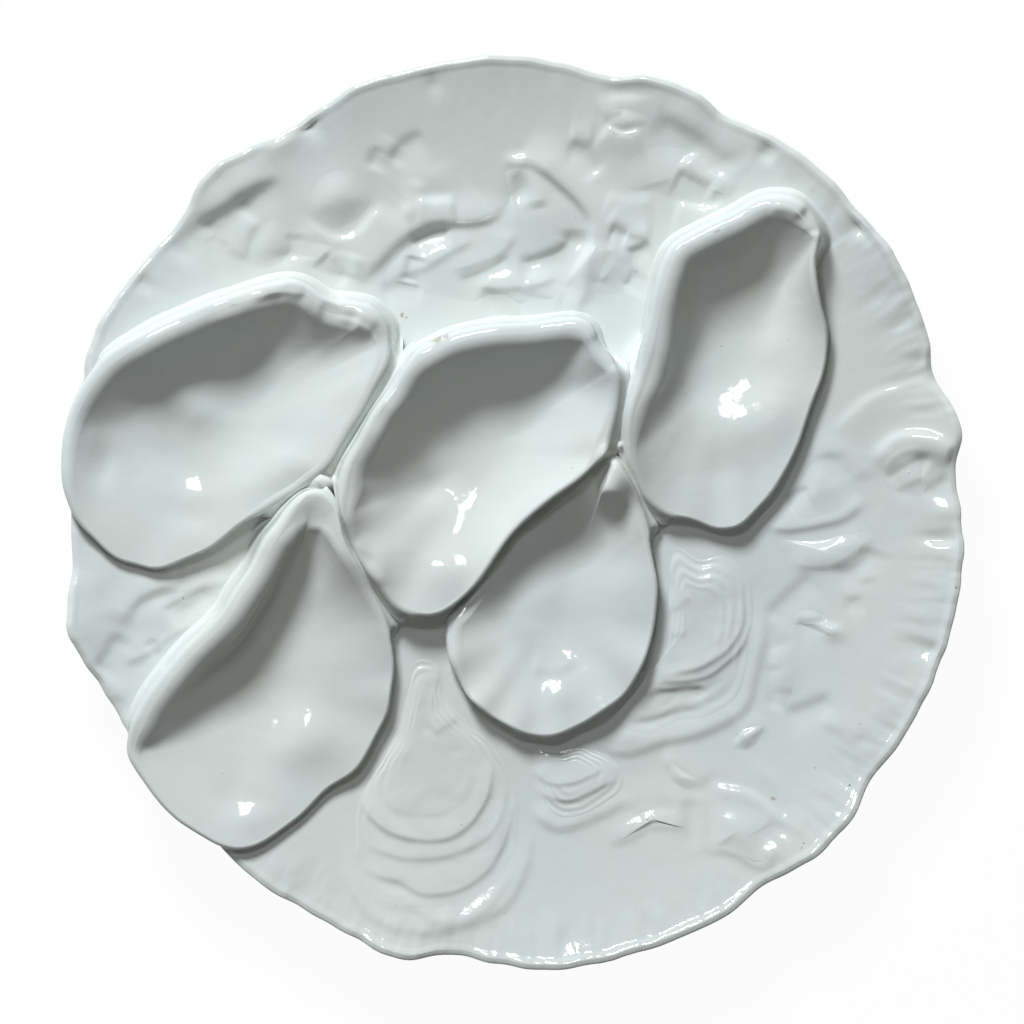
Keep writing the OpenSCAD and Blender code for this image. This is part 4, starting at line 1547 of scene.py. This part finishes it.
    def add_roll(self, solid: RingedForm, lip: Lip) -> tuple[Array, Array]:
        """Add the rolled lip.

        Args:
            solid: the form to add to.
            lip: the lip's rows.

        Returns:
            Where the roll ends, as distance out from the crest and height in mm, and
            its angle there from straight up in radians.
        """
        roll = self.roll
        for part in np.linspace(*roll.inner_rings):
            turn = lip.start + (math.pi / 2 - lip.start) * part
            self.add_lip(solid, lip.crest, lip.into, lip.thick + lip.inner_roll * np.cos(turn),
                         lip.inner_height(turn, roll.knob_drop))
        for part in roll.knob_rings:
            self.add_lip(solid, lip.crest, lip.into, lip.thick * part,
                         lip.top - roll.knob_drop * lip.thick * smooth(part))
        standing = smooth((lip.flank + roll.standing_level) / roll.standing_blend)
        stop = np.radians(blended(roll.undercut_stop, roll.standing_stop, standing))
        stop = blended(stop, math.radians(roll.join_stop), lip.joined)
        inland = smooth((roll.rim_share - np.hypot(*lip.crest.T) / PLATE_R) / roll.rim_blend)
        shelf = roll.shelf * lip.facing * inland * (1.0 - lip.joined)
        for part in np.linspace(*roll.outer_rings):
            ledge = shelf * min(1.0, part / roll.shelf_start)
            across = lip.outer_roll * np.sin(stop * part) + ledge
            height = lip.top - lip.outer_roll * (1.0 - np.cos(stop * part))
            height -= roll.shelf_drop * ledge
            self.add_lip(solid, lip.crest, lip.out, across, height)
        return np.stack([across, height], axis=1), stop

    def add_lip(self, solid: RingedForm, crest: Array, way: Array, offset: Array,
                height: Array) -> None:
        """Add a ring of the rolled lip, offset from the crest along a way, all in mm."""
        place = crest + way * offset[:, None]
        solid.add(place, height + modelled(self.touches, *place.T), self.roll.pooling_and_shade)

    def reach_out(self, lip: Lip) -> tuple[Array, Array]:
        """Return the width of the flank's skirt and how far out its foot stands, in mm."""
        flank = self.flank
        standing = smooth((lip.flank + flank.standing_level) / flank.standing_blend)
        radius = np.hypot(*lip.crest.T)
        slope = np.einsum("ij,ij->i", lip.out, lip.crest) / radius
        to_rim = (flank.rim_share * PLATE_R - radius) / np.maximum(flank.least_slope, slope)
        stand = PLATE_R * np.minimum(lip.flank, flank.undercut_share * lip.flank)
        skirt = np.minimum(flank.skirt + flank.standing_skirt * standing,
                           np.maximum(to_rim - stand, flank.least_skirt))
        valley = flank.valley_place * lip.gap + flank.valley_over
        return skirt, blended(stand + skirt, valley, lip.joined)

    def add_flank(self, solid: RingedForm, lip: Lip, first: Array, stop: Array) -> None:
        """Add the flank from the lip's outer edge down to the plate, and the seat.

        Args:
            solid: the form to add to.
            lip: the lip's rows.
            first: where the roll ends: distance out from the crest, and height.
            stop: the angle at which the roll ends, from straight up.
        """
        flank, crest, out, joined = self.flank, lip.crest, lip.out, lip.joined
        skirt, far = self.reach_out(lip)
        foot = crest + out * far[:, None]
        ground = plate_top(*foot.T) + modelled(SHORE, *foot.T) + PlateBody().lift_at(*foot.T)
        valley = lip.shared - flank.valley_depth - flank.valley_share * lip.gap
        base = blended(ground - flank.sink, valley, joined)
        last = np.stack([far, base], axis=1)
        run = np.stack([np.cos(stop), -np.sin(stop)], axis=1)
        width = far - first[:, 0]
        opened = smooth((run[:, 0] + flank.open_level) / flank.open_blend)
        reach = flank.drop_share * (first[:, 1] - base)
        narrow = flank.width_share * width / np.maximum(run[:, 0], flank.least_run)
        second = first + run * blended(reach, np.minimum(reach, narrow), opened)[:, None]
        across = blended(flank.toe_share * skirt + flank.toe, flank.valley_share * lip.gap, joined)
        across += (np.minimum(across, flank.toe_limit * width) - across) * opened
        toe = crest + out * (far - across)[:, None]
        level = ground - plate_top(*toe.T) - modelled(SHORE, *toe.T)
        third = last - np.stack([across, blended(level, -flank.valley_rise, joined)], axis=1)
        for t in np.linspace(*flank.rings):
            s = 1.0 - t
            section = (first * s ** 3 + second * 3 * s * s * t + third * 3 * s * t * t
                       + last * t ** 3)
            place = crest + out * section[:, :1]
            touched = modelled(self.touches, *place.T) * (1.0 - t ** 3)
            solid.add(place, section[:, 1] + touched, flank.pooling_and_shade * (s * t) ** 2)
        for outwards, deep in flank.toe_rings:
            place = crest + out * (far + outwards * (1.0 - joined))[:, None]
            solid.add(place, base - deep)
        for share in flank.seat_rings:
            place = self.middle() + (foot - self.middle()) * share
            solid.add(place, self.seat(place))

    def seat(self, place: Array) -> Array:
        """Return the height of the shell's hidden underside at places in mm."""
        return plate_top(*place.T) - self.flank.seat_depth - self.bowl.well_depth

    def build(self, glaze: bpy.types.Material) -> bpy.types.Object:
        """Make the shell and seat it."""
        lip = self.shaped_lip()
        solid = self.hollowed(lip)
        first, stop = self.add_roll(solid, lip)
        self.add_flank(solid, lip, first, stop)
        pole = np.array([*self.middle(), float(self.seat(self.middle()))])
        piece = placed(f"{self.node}_glazed", solid.mesh(self.node, pole), glaze)
        return seated(piece, self.node)


def open_shells() -> tuple[ShellCup, ...]:
    """Return the five open shells, each aware of the shells that it leans on."""
    left = ShellCup("shell_cup_left", (
        (-.272, .368, .90, .010), (-.310, .428, .95, .030), (-.395, .440, .93, .032),
        (-.455, .474, 1.00, .028), (-.510, .480, 1.00, .028), (-.600, .452, 1.00, .028),
        (-.700, .415, .98, .028), (-.800, .368, .93, .026), (-.890, .306, .84, .010),
        (-.944, .220, .77, -.015), (-.966, .120, .73, -.028), (-.960, .030, .71, -.030),
        (-.915, -.050, .68, -.030), (-.840, -.106, .65, -.032), (-.760, -.116, .63, -.034),
        (-.660, -.074, .63, -.034), (-.560, .000, .67, -.034), (-.476, .052, .72, -.030),
        (-.410, .100, .77, -.020), (-.346, .200, .82, -.012), (-.290, .296, .86, -.006)),
        (-.65, .20), (
        Swell(-.70, .23, .05, .06, 60, 1.7), Swell(-.70, -.01, .05, .035, -10, -.5),
        Swell(-.895, .105, .03, .045, 0, -.9), Swell(-.50, .17, .05, .05, 20, -.5),
        ridge(.7, 1.2, -.54, .475, -.49, .482, -.45, .472),
        crease(.6, 1.0, -.56, .447, -.50, .468, -.44, .462),
        crease(.8, 1.3, -.42, .445, -.37, .43, -.33, .42),
        ridge(.6, 1.2, -.38, .425, -.34, .415, -.30, .39)), 21,
        ((-.31, .40, .08, 2.5),), mounds=(Swell(-.51, .065, .09, .06, 15, 1.4),))
    centre = ShellCup("shell_cup_centre", (
        (.216, .200, .84, .000), (.226, .288, .90, .002), (.190, .348, .97, .006),
        (.145, .398, .98, .018), (.040, .390, .94, .020), (-.050, .385, .96, .020),
        (-.140, .362, 1.00, .020), (-.210, .318, 1.00, .018), (-.270, .244, 1.00, .016),
        (-.320, .158, .98, .016), (-.358, .075, .94, .014), (-.370, .002, .88, .000),
        (-.346, -.066, .80, -.010), (-.300, -.138, .75, -.018), (-.250, -.200, .72, -.026),
        (-.190, -.222, .71, -.030), (-.118, -.194, .71, -.030), (-.056, -.122, .73, -.030),
        (.000, -.042, .76, -.030), (.078, .024, .79, -.030), (.148, .078, .82, -.020),
        (.194, .130, .84, -.008)),
        (-.07, .13), (
        Swell(-.17, .06, .055, .04, 20, -1.0), Swell(-.32, .05, .03, .05, 20, -.8),
        Swell(.12, .27, .07, .04, -10, -.8),
        crease(1.2, 1.6, .195, .400, .222, .362, .248, .322),
        Swell(.205, .120, .022, .022, 0, 1.6),
        ridge(.5, 1.1, -.345, -.07, -.29, -.10, -.28, -.165)), 22,
        ((.215, .13, .05, 1.5), (-.37, .03, .06, 1.5)),
        mounds=(Swell(-.13, -.135, .08, .06, 0, 1.0),))
    right = ShellCup("shell_cup_right", (
        (.655, .250, .68, -.020), (.684, .345, .72, -.015), (.668, .440, .78, -.010),
        (.658, .530, .86, .000), (.660, .602, .95, .020), (.622, .652, 1.00, .030),
        (.560, .666, 1.00, .028), (.490, .632, 1.00, .025), (.410, .595, 1.00, .025),
        (.352, .545, 1.00, .025), (.324, .460, .98, .020), (.310, .385, .94, .010),
        (.286, .305, .90, .000), (.262, .220, .86, -.005), (.256, .140, .80, -.005),
        (.278, .062, .74, -.008), (.322, .010, .68, -.015), (.385, -.012, .64, -.022),
        (.450, -.033, .62, -.030), (.510, -.015, .62, -.030), (.560, .042, .63, -.030),
        (.615, .136, .65, -.025)),
        (.47, .34), (
        Swell(.30, .24, .03, .07, 0, -.5), Swell(.42, .40, .04, .09, 0, .4),
        Swell(.58, .20, .04, .06, 0, .4),
        ridge(.7, 1.3, .56, .662, .60, .66, .64, .645),
        crease(.7, 1.2, .63, .66, .655, .63, .66, .60)), 23,
        ((.29, .30, .10, 1.5),), sunk=0.9, mounds=(Swell(.50, .19, .10, .08, 10, 1.7),))
    lower = ShellCup("shell_cup_lower", (
        (.312, -.210, .61, -.018), (.306, -.130, .63, -.014), (.290, -.048, .66, -.008),
        (.266, .036, .72, -.002), (.224, .100, .78, .004), (.180, .084, .68, .004),
        (.092, .010, .54, .000), (.020, -.050, .50, .000), (-.035, -.118, .48, .000),
        (-.085, -.196, .50, .000), (-.120, -.252, .56, -.004), (-.120, -.330, .60, -.012),
        (-.085, -.405, .60, -.022), (-.030, -.450, .60, -.030), (.035, -.482, .60, -.030),
        (.110, -.478, .60, -.030), (.185, -.438, .60, -.030), (.252, -.385, .60, -.026),
        (.292, -.300, .60, -.020)),
        (.09, -.20), (
        Swell(.24, -.16, .05, .06, 0, .5), Swell(.22, .045, .03, .04, -30, 1.5),
        ridge(.4, 1.6, .04, -.335, .10, -.34, .14, -.31)), 24,
        ((.224, .095, .055, 4.5),), mounds=(Swell(.09, -.40, .07, .05, 10, 0.8),))
    lower_left = ShellCup("shell_cup_lower_left", (
        (-.262, -.335, .66, -.020), (-.280, -.245, .70, -.010), (-.318, -.168, .76, -.004),
        (-.356, -.090, .84, .000), (-.388, .010, .90, .004), (-.444, .036, .94, .012),
        (-.505, -.045, 1.00, .040), (-.545, -.120, 1.00, .038), (-.590, -.190, 1.00, .036),
        (-.640, -.256, 1.00, .034), (-.706, -.322, .98, .034), (-.762, -.390, .93, .032),
        (-.806, -.464, .84, .014), (-.822, -.535, .77, -.022), (-.782, -.605, .73, -.030),
        (-.714, -.676, .70, -.030), (-.635, -.722, .68, -.030), (-.560, -.724, .66, -.030),
        (-.480, -.672, .64, -.030), (-.410, -.605, .62, -.030), (-.338, -.555, .61, -.030),
        (-.290, -.465, .62, -.030), (-.268, -.400, .64, -.026)),
        (-.56, -.36), (
        Swell(-.55, -.63, .05, .03, 0, -.4), Swell(-.45, -.45, .05, .05, 0, .4)), 25,
        ((-.420, .025, .07, 6.5),), sunk=1.1,
        mounds=(Swell(-.55, -.655, .08, .06, 10, 1.3), Swell(-.45, -.51, .08, .06, 10, 1.4)))
    left.neighbours = (centre, lower_left)
    centre.neighbours = (left, right, lower_left)
    right.neighbours = (centre, lower)
    lower.neighbours = (right,)
    lower_left.neighbours = (left, centre)
    return left, centre, right, lower, lower_left


# The low reliefs

@dataclass(frozen=True)
class Crown:
    """How a relief rises: a share of its height, and how the share of the way out changes it."""

    firmness: float
    edge_power: int
    middle: float = 1.0
    gain: float = 0.0
    gain_power: int = 1

    def rise(self, share: float) -> float:
        """Return the rise, as a share of the relief's height, level at its edge."""
        slope = self.middle + self.gain * share ** self.gain_power
        return self.firmness * slope * (1.0 - share ** self.edge_power) ** 3


class ReliefKind(Enum):
    """How a low relief rises from the plate."""

    LEAF = Crown(0.5, 2)
    FLAT_SHELL = Crown(0.6, 4, 1.0, -0.2)
    WAVE = Crown(0.6, 4, 0.6, 0.4, 2)


@dataclass
class Relief:
    """A low sprig, flat shell or wave luted to the plate, rising softly from its edge."""

    node: str
    kind: ReliefKind
    outline: Points
    height: float
    hinge: tuple[float, float] | None = None
    steps: int = 10
    depth: int = 34
    sink: float = 0.02
    edge_sink: float = 0.28
    edge_power: int = 16
    seat_rings: tuple[float, ...] = (0.98, 0.5)
    seat_depth: float = 2.2

    def centre(self) -> Array:
        """Return the point that the relief grows from, in mm."""
        if self.hinge is not None:
            return np.array(self.hinge) * PLATE_R
        return np.mean(np.array(self.outline), axis=0) * PLATE_R

    def form(self) -> tuple[RingedForm, Array]:
        """Shape the relief.

        Returns:
            The form, and the pole that closes it below.
        """
        plate = PlateBody()
        crown = self.kind.value
        edge = spline(np.array(self.outline) * PLATE_R, self.steps, closed=True)
        centre = self.centre()
        ground = float(plate_top(*centre))
        mound = float(modelled(SHORE, *centre[:, None])[0])
        solid = RingedForm(np.array([*centre, ground + mound + self.height * crown.rise(0.0)]))
        for share in np.linspace(0.0, 1.0, self.depth + 1)[1:]:
            place = centre + (edge - centre) * share
            touched = modelled(SHORE, *place.T)
            sunk = self.sink + self.edge_sink * share ** self.edge_power
            height = plate_top(*place.T) + touched + self.height * crown.rise(share) - sunk
            height += plate.lift_at(*place.T)
            solid.add(place, height, pooled_and_shaded(touched), share)
        for share in self.seat_rings:
            place = centre + (edge - centre) * share
            solid.add(place, plate_top(*place.T) - self.seat_depth, share=HIDDEN_SIDE)
        return solid, np.array([*centre, ground - self.seat_depth])

    def build(self, glaze: bpy.types.Material, growth: "GrowthLines") -> bpy.types.Object:
        """Make the relief, with growth lines on a flat shell, and seat it."""
        solid, pole = self.form()
        piece = placed(f"{self.node}_glazed", solid.mesh(self.node, pole), glaze)
        if self.kind is ReliefKind.FLAT_SHELL:
            growth.draw(piece, glaze)
        return seated(piece, self.node)


@dataclass
class GrowthLines:
    """Fine growth lines that run round a flat shell's hinge."""

    height: float = 0.06
    lines: float = 6.0
    seed: int = 5
    seed_shift: float = 0.013
    crowding: float = 1.2
    bend: float = 2.2
    bend_grain: Grain = Grain(70.0)
    patch_grain: Grain = Grain(120.0, 1.0)
    patch_edge: tuple[float, float] = (0.35, 0.65)
    start: tuple[float, float] = (0.2, 0.5)
    end: tuple[float, float] = (0.9, 0.98)
    rule: Rule | None = None

    def drawn(self) -> Rule:
        """Return the rule that raises the growth lines."""
        rule = Rule("growth_lines", {"Height": "float", "Lines": "float", "Seed": "int"})
        graph = rule.graph
        share = rule.share()
        shift = graph.wire("ShaderNodeCombineXYZ", values={
            2: rule.value("Seed") * self.seed_shift})
        place = graph.vector("ADD", graph.wire("GeometryNodeInputPosition"), shift)
        bend = graph.noise(place, self.bend_grain) * self.bend
        turns = share ** self.crowding * rule.value("Lines") + bend
        wave = (turns * (2.0 * math.pi)).sine()
        patch = graph.noise(place, self.patch_grain).eased(*self.patch_edge)
        fade = share.eased(*self.start) * (1.0 - share.eased(*self.end)) * patch
        rule.close(rule.value("Geometry"), wave * fade * rule.value("Height"))
        return rule

    def draw(self, piece: bpy.types.Object, glaze: bpy.types.Material) -> None:
        """Raise the growth lines on a flat shell."""
        if self.rule is None:
            self.rule = self.drawn()
        self.rule.run(piece, {"Height": self.height * MM, "Lines": self.lines,
                              "Seed": self.seed, "Material": glaze})


def low_reliefs() -> tuple[Relief, ...]:
    """Return the flat shells, the curling wave and the seaweed."""
    leaf = ReliefKind.LEAF
    flat = ReliefKind.FLAT_SHELL
    return (
        Relief("flat_shell_large", flat, (
            (-.160, -.310), (-.212, -.310), (-.238, -.400), (-.262, -.480),
            (-.318, -.580), (-.352, -.650), (-.364, -.740), (-.345, -.815),
            (-.305, -.878), (-.240, -.906), (-.165, -.912), (-.080, -.895),
            (-.008, -.850), (.032, -.765), (.040, -.680), (.020, -.595),
            (-.020, -.520), (-.080, -.462), (-.130, -.400), (-.148, -.350)),
            1.5, (-.190, -.480), 14, 110),
        Relief("flat_shell_right", flat, (
            (.350, -.060), (.332, -.100), (.336, -.170), (.332, -.260),
            (.314, -.345), (.264, -.416), (.202, -.470), (.222, -.500),
            (.280, -.512), (.350, -.488), (.435, -.470), (.488, -.440),
            (.518, -.385), (.528, -.310), (.543, -.235), (.538, -.160),
            (.508, -.100), (.465, -.078), (.410, -.088)), 1.5, (.405, -.225), 14, 80),
        Relief("flat_shell_small", flat, (
            (.150, -.506), (.092, -.516), (.036, -.514), (.040, -.560),
            (.058, -.610), (.070, -.655), (.105, -.680), (.150, -.676),
            (.205, -.650), (.250, -.618), (.258, -.570), (.230, -.535),
            (.185, -.516)), 1.3, (.130, -.560), 16, 50),
        Relief("curling_wave", ReliefKind.WAVE, (
            (.150, .500), (.178, .570), (.180, .645), (.145, .705),
            (.085, .752), (.015, .776), (-.020, .762), (-.006, .715),
            (-.026, .672), (-.080, .645), (-.155, .634), (-.230, .600),
            (-.290, .552), (-.318, .506), (-.262, .480), (-.160, .452),
            (-.060, .444), (.040, .446), (.110, .456)), 1.5, (.030, .575), 14, 90),
        Relief("leaf_top_left", leaf, (
            (-.472, .600), (-.500, .650), (-.548, .638), (-.584, .600),
            (-.596, .550), (-.570, .518), (-.520, .524), (-.476, .552)), 1.3),
        Relief("bud_top_left", leaf, (
            (-.290, .680), (-.306, .724), (-.350, .756), (-.408, .752),
            (-.446, .708), (-.456, .650), (-.420, .618), (-.378, .606),
            (-.328, .632)), 1.6),
        Relief("fold_top_left", leaf, (
            (-.352, .556), (-.398, .590), (-.450, .592), (-.462, .545),
            (-.420, .516), (-.368, .506)), 1.1),
        Relief("leaf_top_right", leaf, (
            (.462, .668), (.478, .722), (.456, .768), (.402, .802),
            (.330, .812), (.262, .796), (.216, .752), (.226, .700),
            (.300, .690), (.352, .668), (.410, .656)), 1.3, steps=14, depth=48),
        Relief("bud_top_right", leaf, (
            (.305, .858), (.252, .886), (.204, .874), (.190, .842),
            (.226, .818), (.282, .826)), 1.1),
        Relief("leaf_arrow", leaf, (
            (.302, .600), (.262, .624), (.222, .634), (.206, .598),
            (.198, .556), (.180, .505), (.172, .468), (.206, .456),
            (.256, .478), (.280, .530)), 1.2),
        Relief("scroll_right", leaf, (
            (.928, .060), (.926, .112), (.888, .158), (.834, .148),
            (.792, .102), (.800, .056), (.846, .030), (.896, .024)), 1.3),
        Relief("leaf_right", leaf, (
            (.766, .062), (.728, .112), (.690, .138), (.654, .122),
            (.618, .064), (.588, .004), (.606, -.028), (.670, -.022),
            (.736, .004)), 1.4),
        Relief("crescent_right", leaf, (
            (.786, -.056), (.744, -.038), (.690, -.052), (.620, -.058),
            (.560, -.056), (.572, -.100), (.632, -.134), (.694, -.140),
            (.748, -.124), (.776, -.092)), 1.1),
        Relief("sprig_right", leaf, (
            (.722, -.258), (.690, -.226), (.648, -.206), (.608, -.214),
            (.604, -.240), (.642, -.254), (.684, -.272), (.712, -.278)), 0.9),
        Relief("leaf_twig", leaf, (
            (.622, -.372), (.606, -.318), (.574, -.264), (.556, -.286),
            (.552, -.344), (.562, -.404), (.582, -.440), (.608, -.422)), 1.0),
        Relief("leaf_drop", leaf, (
            (.558, -.462), (.512, -.466), (.480, -.490), (.474, -.516),
            (.506, -.526), (.540, -.506)), 1.1),
        Relief("bow_bud", leaf, (
            (.412, -.590), (.376, -.560), (.336, -.540), (.332, -.568),
            (.356, -.600), (.390, -.612)), 1.0),
        Relief("bow_leaf_left", leaf, (
            (.396, -.640), (.350, -.620), (.290, -.612), (.248, -.644),
            (.216, -.692), (.222, -.722), (.266, -.702), (.312, -.682),
            (.366, -.684), (.396, -.692)), 1.0),
        Relief("bow_leaf_right", leaf, (
            (.582, -.700), (.566, -.656), (.506, -.620), (.444, -.612),
            (.412, -.634), (.410, -.690), (.418, -.736), (.462, -.738),
            (.506, -.756), (.548, -.766), (.572, -.738)), 1.3, steps=14, depth=44),
        Relief("sprig_left", leaf, (
            (-.650, -.172), (-.700, -.164), (-.766, -.174), (-.826, -.200),
            (-.848, -.246), (-.812, -.288), (-.752, -.276), (-.696, -.232)), 1.2),
    )


# The studio

# White, and wholly there
WHITE = (1.0, 1.0, 1.0, 1.0)


def seen_directly(graph: Graph) -> Wire:
    """Return 1 for what the camera, a reflection or a refraction sees."""
    rays = graph.node("ShaderNodeLightPath")
    found = Wire(graph.tree, rays.outputs["Is Camera Ray"])
    for name in ("Is Glossy Ray", "Is Transmission Ray"):
        found = found.larger(Wire(graph.tree, rays.outputs[name]))
    return found


@dataclass(frozen=True)
class WhiteFloor(Finish):
    """Pale paper that the camera sees as white and that still holds a shadow."""

    grain: Grain = Grain(40.0, 3.0)
    dark: Colour = linear(246, 246, 246)
    pale: Colour = linear(250, 250, 250)
    whiteness: float = 0.96

    def shaded(self, graph: Graph, place: Wire) -> Wire:
        """Return the paper's shader."""
        colour = graph.mixed(graph.noise(place, self.grain), self.dark, self.pale)
        paper = graph.wire("ShaderNodeBsdfDiffuse", values={"Color": colour})
        white = graph.wire("ShaderNodeEmission", values={"Color": WHITE, "Strength": 1.0})
        return graph.wire("ShaderNodeMixShader", values={
            0: seen_directly(graph) * self.whiteness, 1: paper, 2: white})


@dataclass
class Studio:
    """Plain pale floor, a two-pane window light, soft room light and the camera."""

    window_bearing: float = 110.0
    window_height: float = 61.0
    window_gap: float = 1.5
    pane: float = 0.155
    pane_height: float = 1.15
    pane_spread: float = 0.62
    pane_power: float = 1.5
    pane_colour: Colour = (0.97, 0.99, 1.0)
    sky_power: float = 47.0
    sky_bearing: float = 109.0
    sky_height: float = 33.0
    sky_size: float = 0.47
    sky_gap: float = 2.0
    sky_colour: Colour = (0.92, 0.98, 1.0)
    room: Colour = (1.0, 0.96, 0.86)
    room_strength: float = 0.045
    floor_size: float = 6.0
    camera_height: float = 3.0
    sensor: float = 36.0
    lens: float = 428.5
    farthest: float = 20.0

    def place(self, bearing: float, height: float, gap: float) -> Vector:
        """Return a place by its bearing, height angle and distance from the plate."""
        a, e = math.radians(bearing), math.radians(height)
        return Vector((math.cos(a) * math.cos(e), math.sin(a) * math.cos(e),
                       math.sin(e))) * gap

    def lamp(self, name: str, size: tuple[float, float], power: float,
             colour: Colour) -> bpy.types.Object:
        """Hang up a flat lamp by its width and height in metres, power and colour."""
        light = bpy.data.lights.new(name, "AREA")
        light.shape = "RECTANGLE"
        light.size, light.size_y = size
        light.energy = power
        light.color = colour
        made = bpy.data.objects.new(name, light)
        bpy.context.scene.collection.objects.link(made)
        return made

    def add_window(self) -> None:
        """Hang the window's two panes side by side, facing the plate."""
        middle = self.place(self.window_bearing, self.window_height, self.window_gap)
        turn = middle.to_track_quat("Z", "Y")
        size = (self.pane, self.pane * self.pane_height)
        for side in (-1.0, 1.0):
            pane = self.lamp("window_pane", size, self.pane_power, self.pane_colour)
            pane.rotation_euler = turn.to_euler()
            pane.location = middle + turn @ Vector((side * self.pane * self.pane_spread, 0, 0))

    def add_sky(self) -> None:
        """Add the broad soft light of the bright side of the room."""
        sky = self.lamp("soft_sky", (self.sky_size, self.sky_size), self.sky_power,
                        self.sky_colour)
        sky.visible_glossy = False
        sky.location = self.place(self.sky_bearing, self.sky_height, self.sky_gap)
        sky.rotation_euler = sky.location.to_track_quat("Z", "Y").to_euler()

    def add_room(self) -> None:
        """Light the room softly, with a white background."""
        world = bpy.data.worlds.new("room")
        bpy.context.scene.world = world
        world.use_nodes = True
        world.node_tree.nodes.clear()
        graph = Graph(world.node_tree)
        soft = graph.wire("ShaderNodeBackground", values={
            "Color": (*self.room, 1.0), "Strength": self.room_strength})
        white = graph.wire("ShaderNodeBackground", values={"Color": WHITE, "Strength": 1.0})
        both = graph.wire("ShaderNodeMixShader", values={
            0: seen_directly(graph), 1: soft, 2: white})
        graph.node("ShaderNodeOutputWorld", values={"Surface": both})

    def add_floor(self) -> None:
        """Lay the floor under the plate."""
        side = self.floor_size / 2
        mesh = bpy.data.meshes.new("floor")
        mesh.from_pydata([(-side, -side, 0), (side, -side, 0), (side, side, 0),
                          (-side, side, 0)], [], [(0, 1, 2, 3)])
        placed("floor", mesh, WhiteFloor().material("floor"))

    def add_camera(self) -> None:
        """Set the camera straight above the plate, its top towards the picture's top."""
        data = bpy.data.cameras.new("camera")
        data.sensor_width = self.sensor
        data.lens = self.lens
        data.clip_end = self.farthest
        camera = bpy.data.objects.new("camera", data)
        camera.location = (0.0, 0.0, self.camera_height)
        bpy.context.scene.collection.objects.link(camera)
        bpy.context.scene.camera = camera

    def build(self) -> None:
        """Set up the whole studio."""
        bpy.context.scene.view_settings.view_transform = "Standard"
        self.add_camera()
        self.add_window()
        self.add_sky()
        self.add_room()
        self.add_floor()


def main() -> None:
    """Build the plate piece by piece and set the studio."""
    glaze = ClearGlaze().material("glazed_porcelain")
    bare_foot = BareFoot().material("bare_foot")
    shells = open_shells()
    pieces = [PlateBody(shells=shells).build(glaze), FootRing().build(bare_foot)]
    pieces += [shell.build(glaze) for shell in shells]
    growth = GrowthLines()
    pieces += [relief.build(glaze, growth) for relief in low_reliefs()]
    Studio().build()
    LOG.info("%d pieces", len(pieces))


if __name__ == "__main__":
    main()
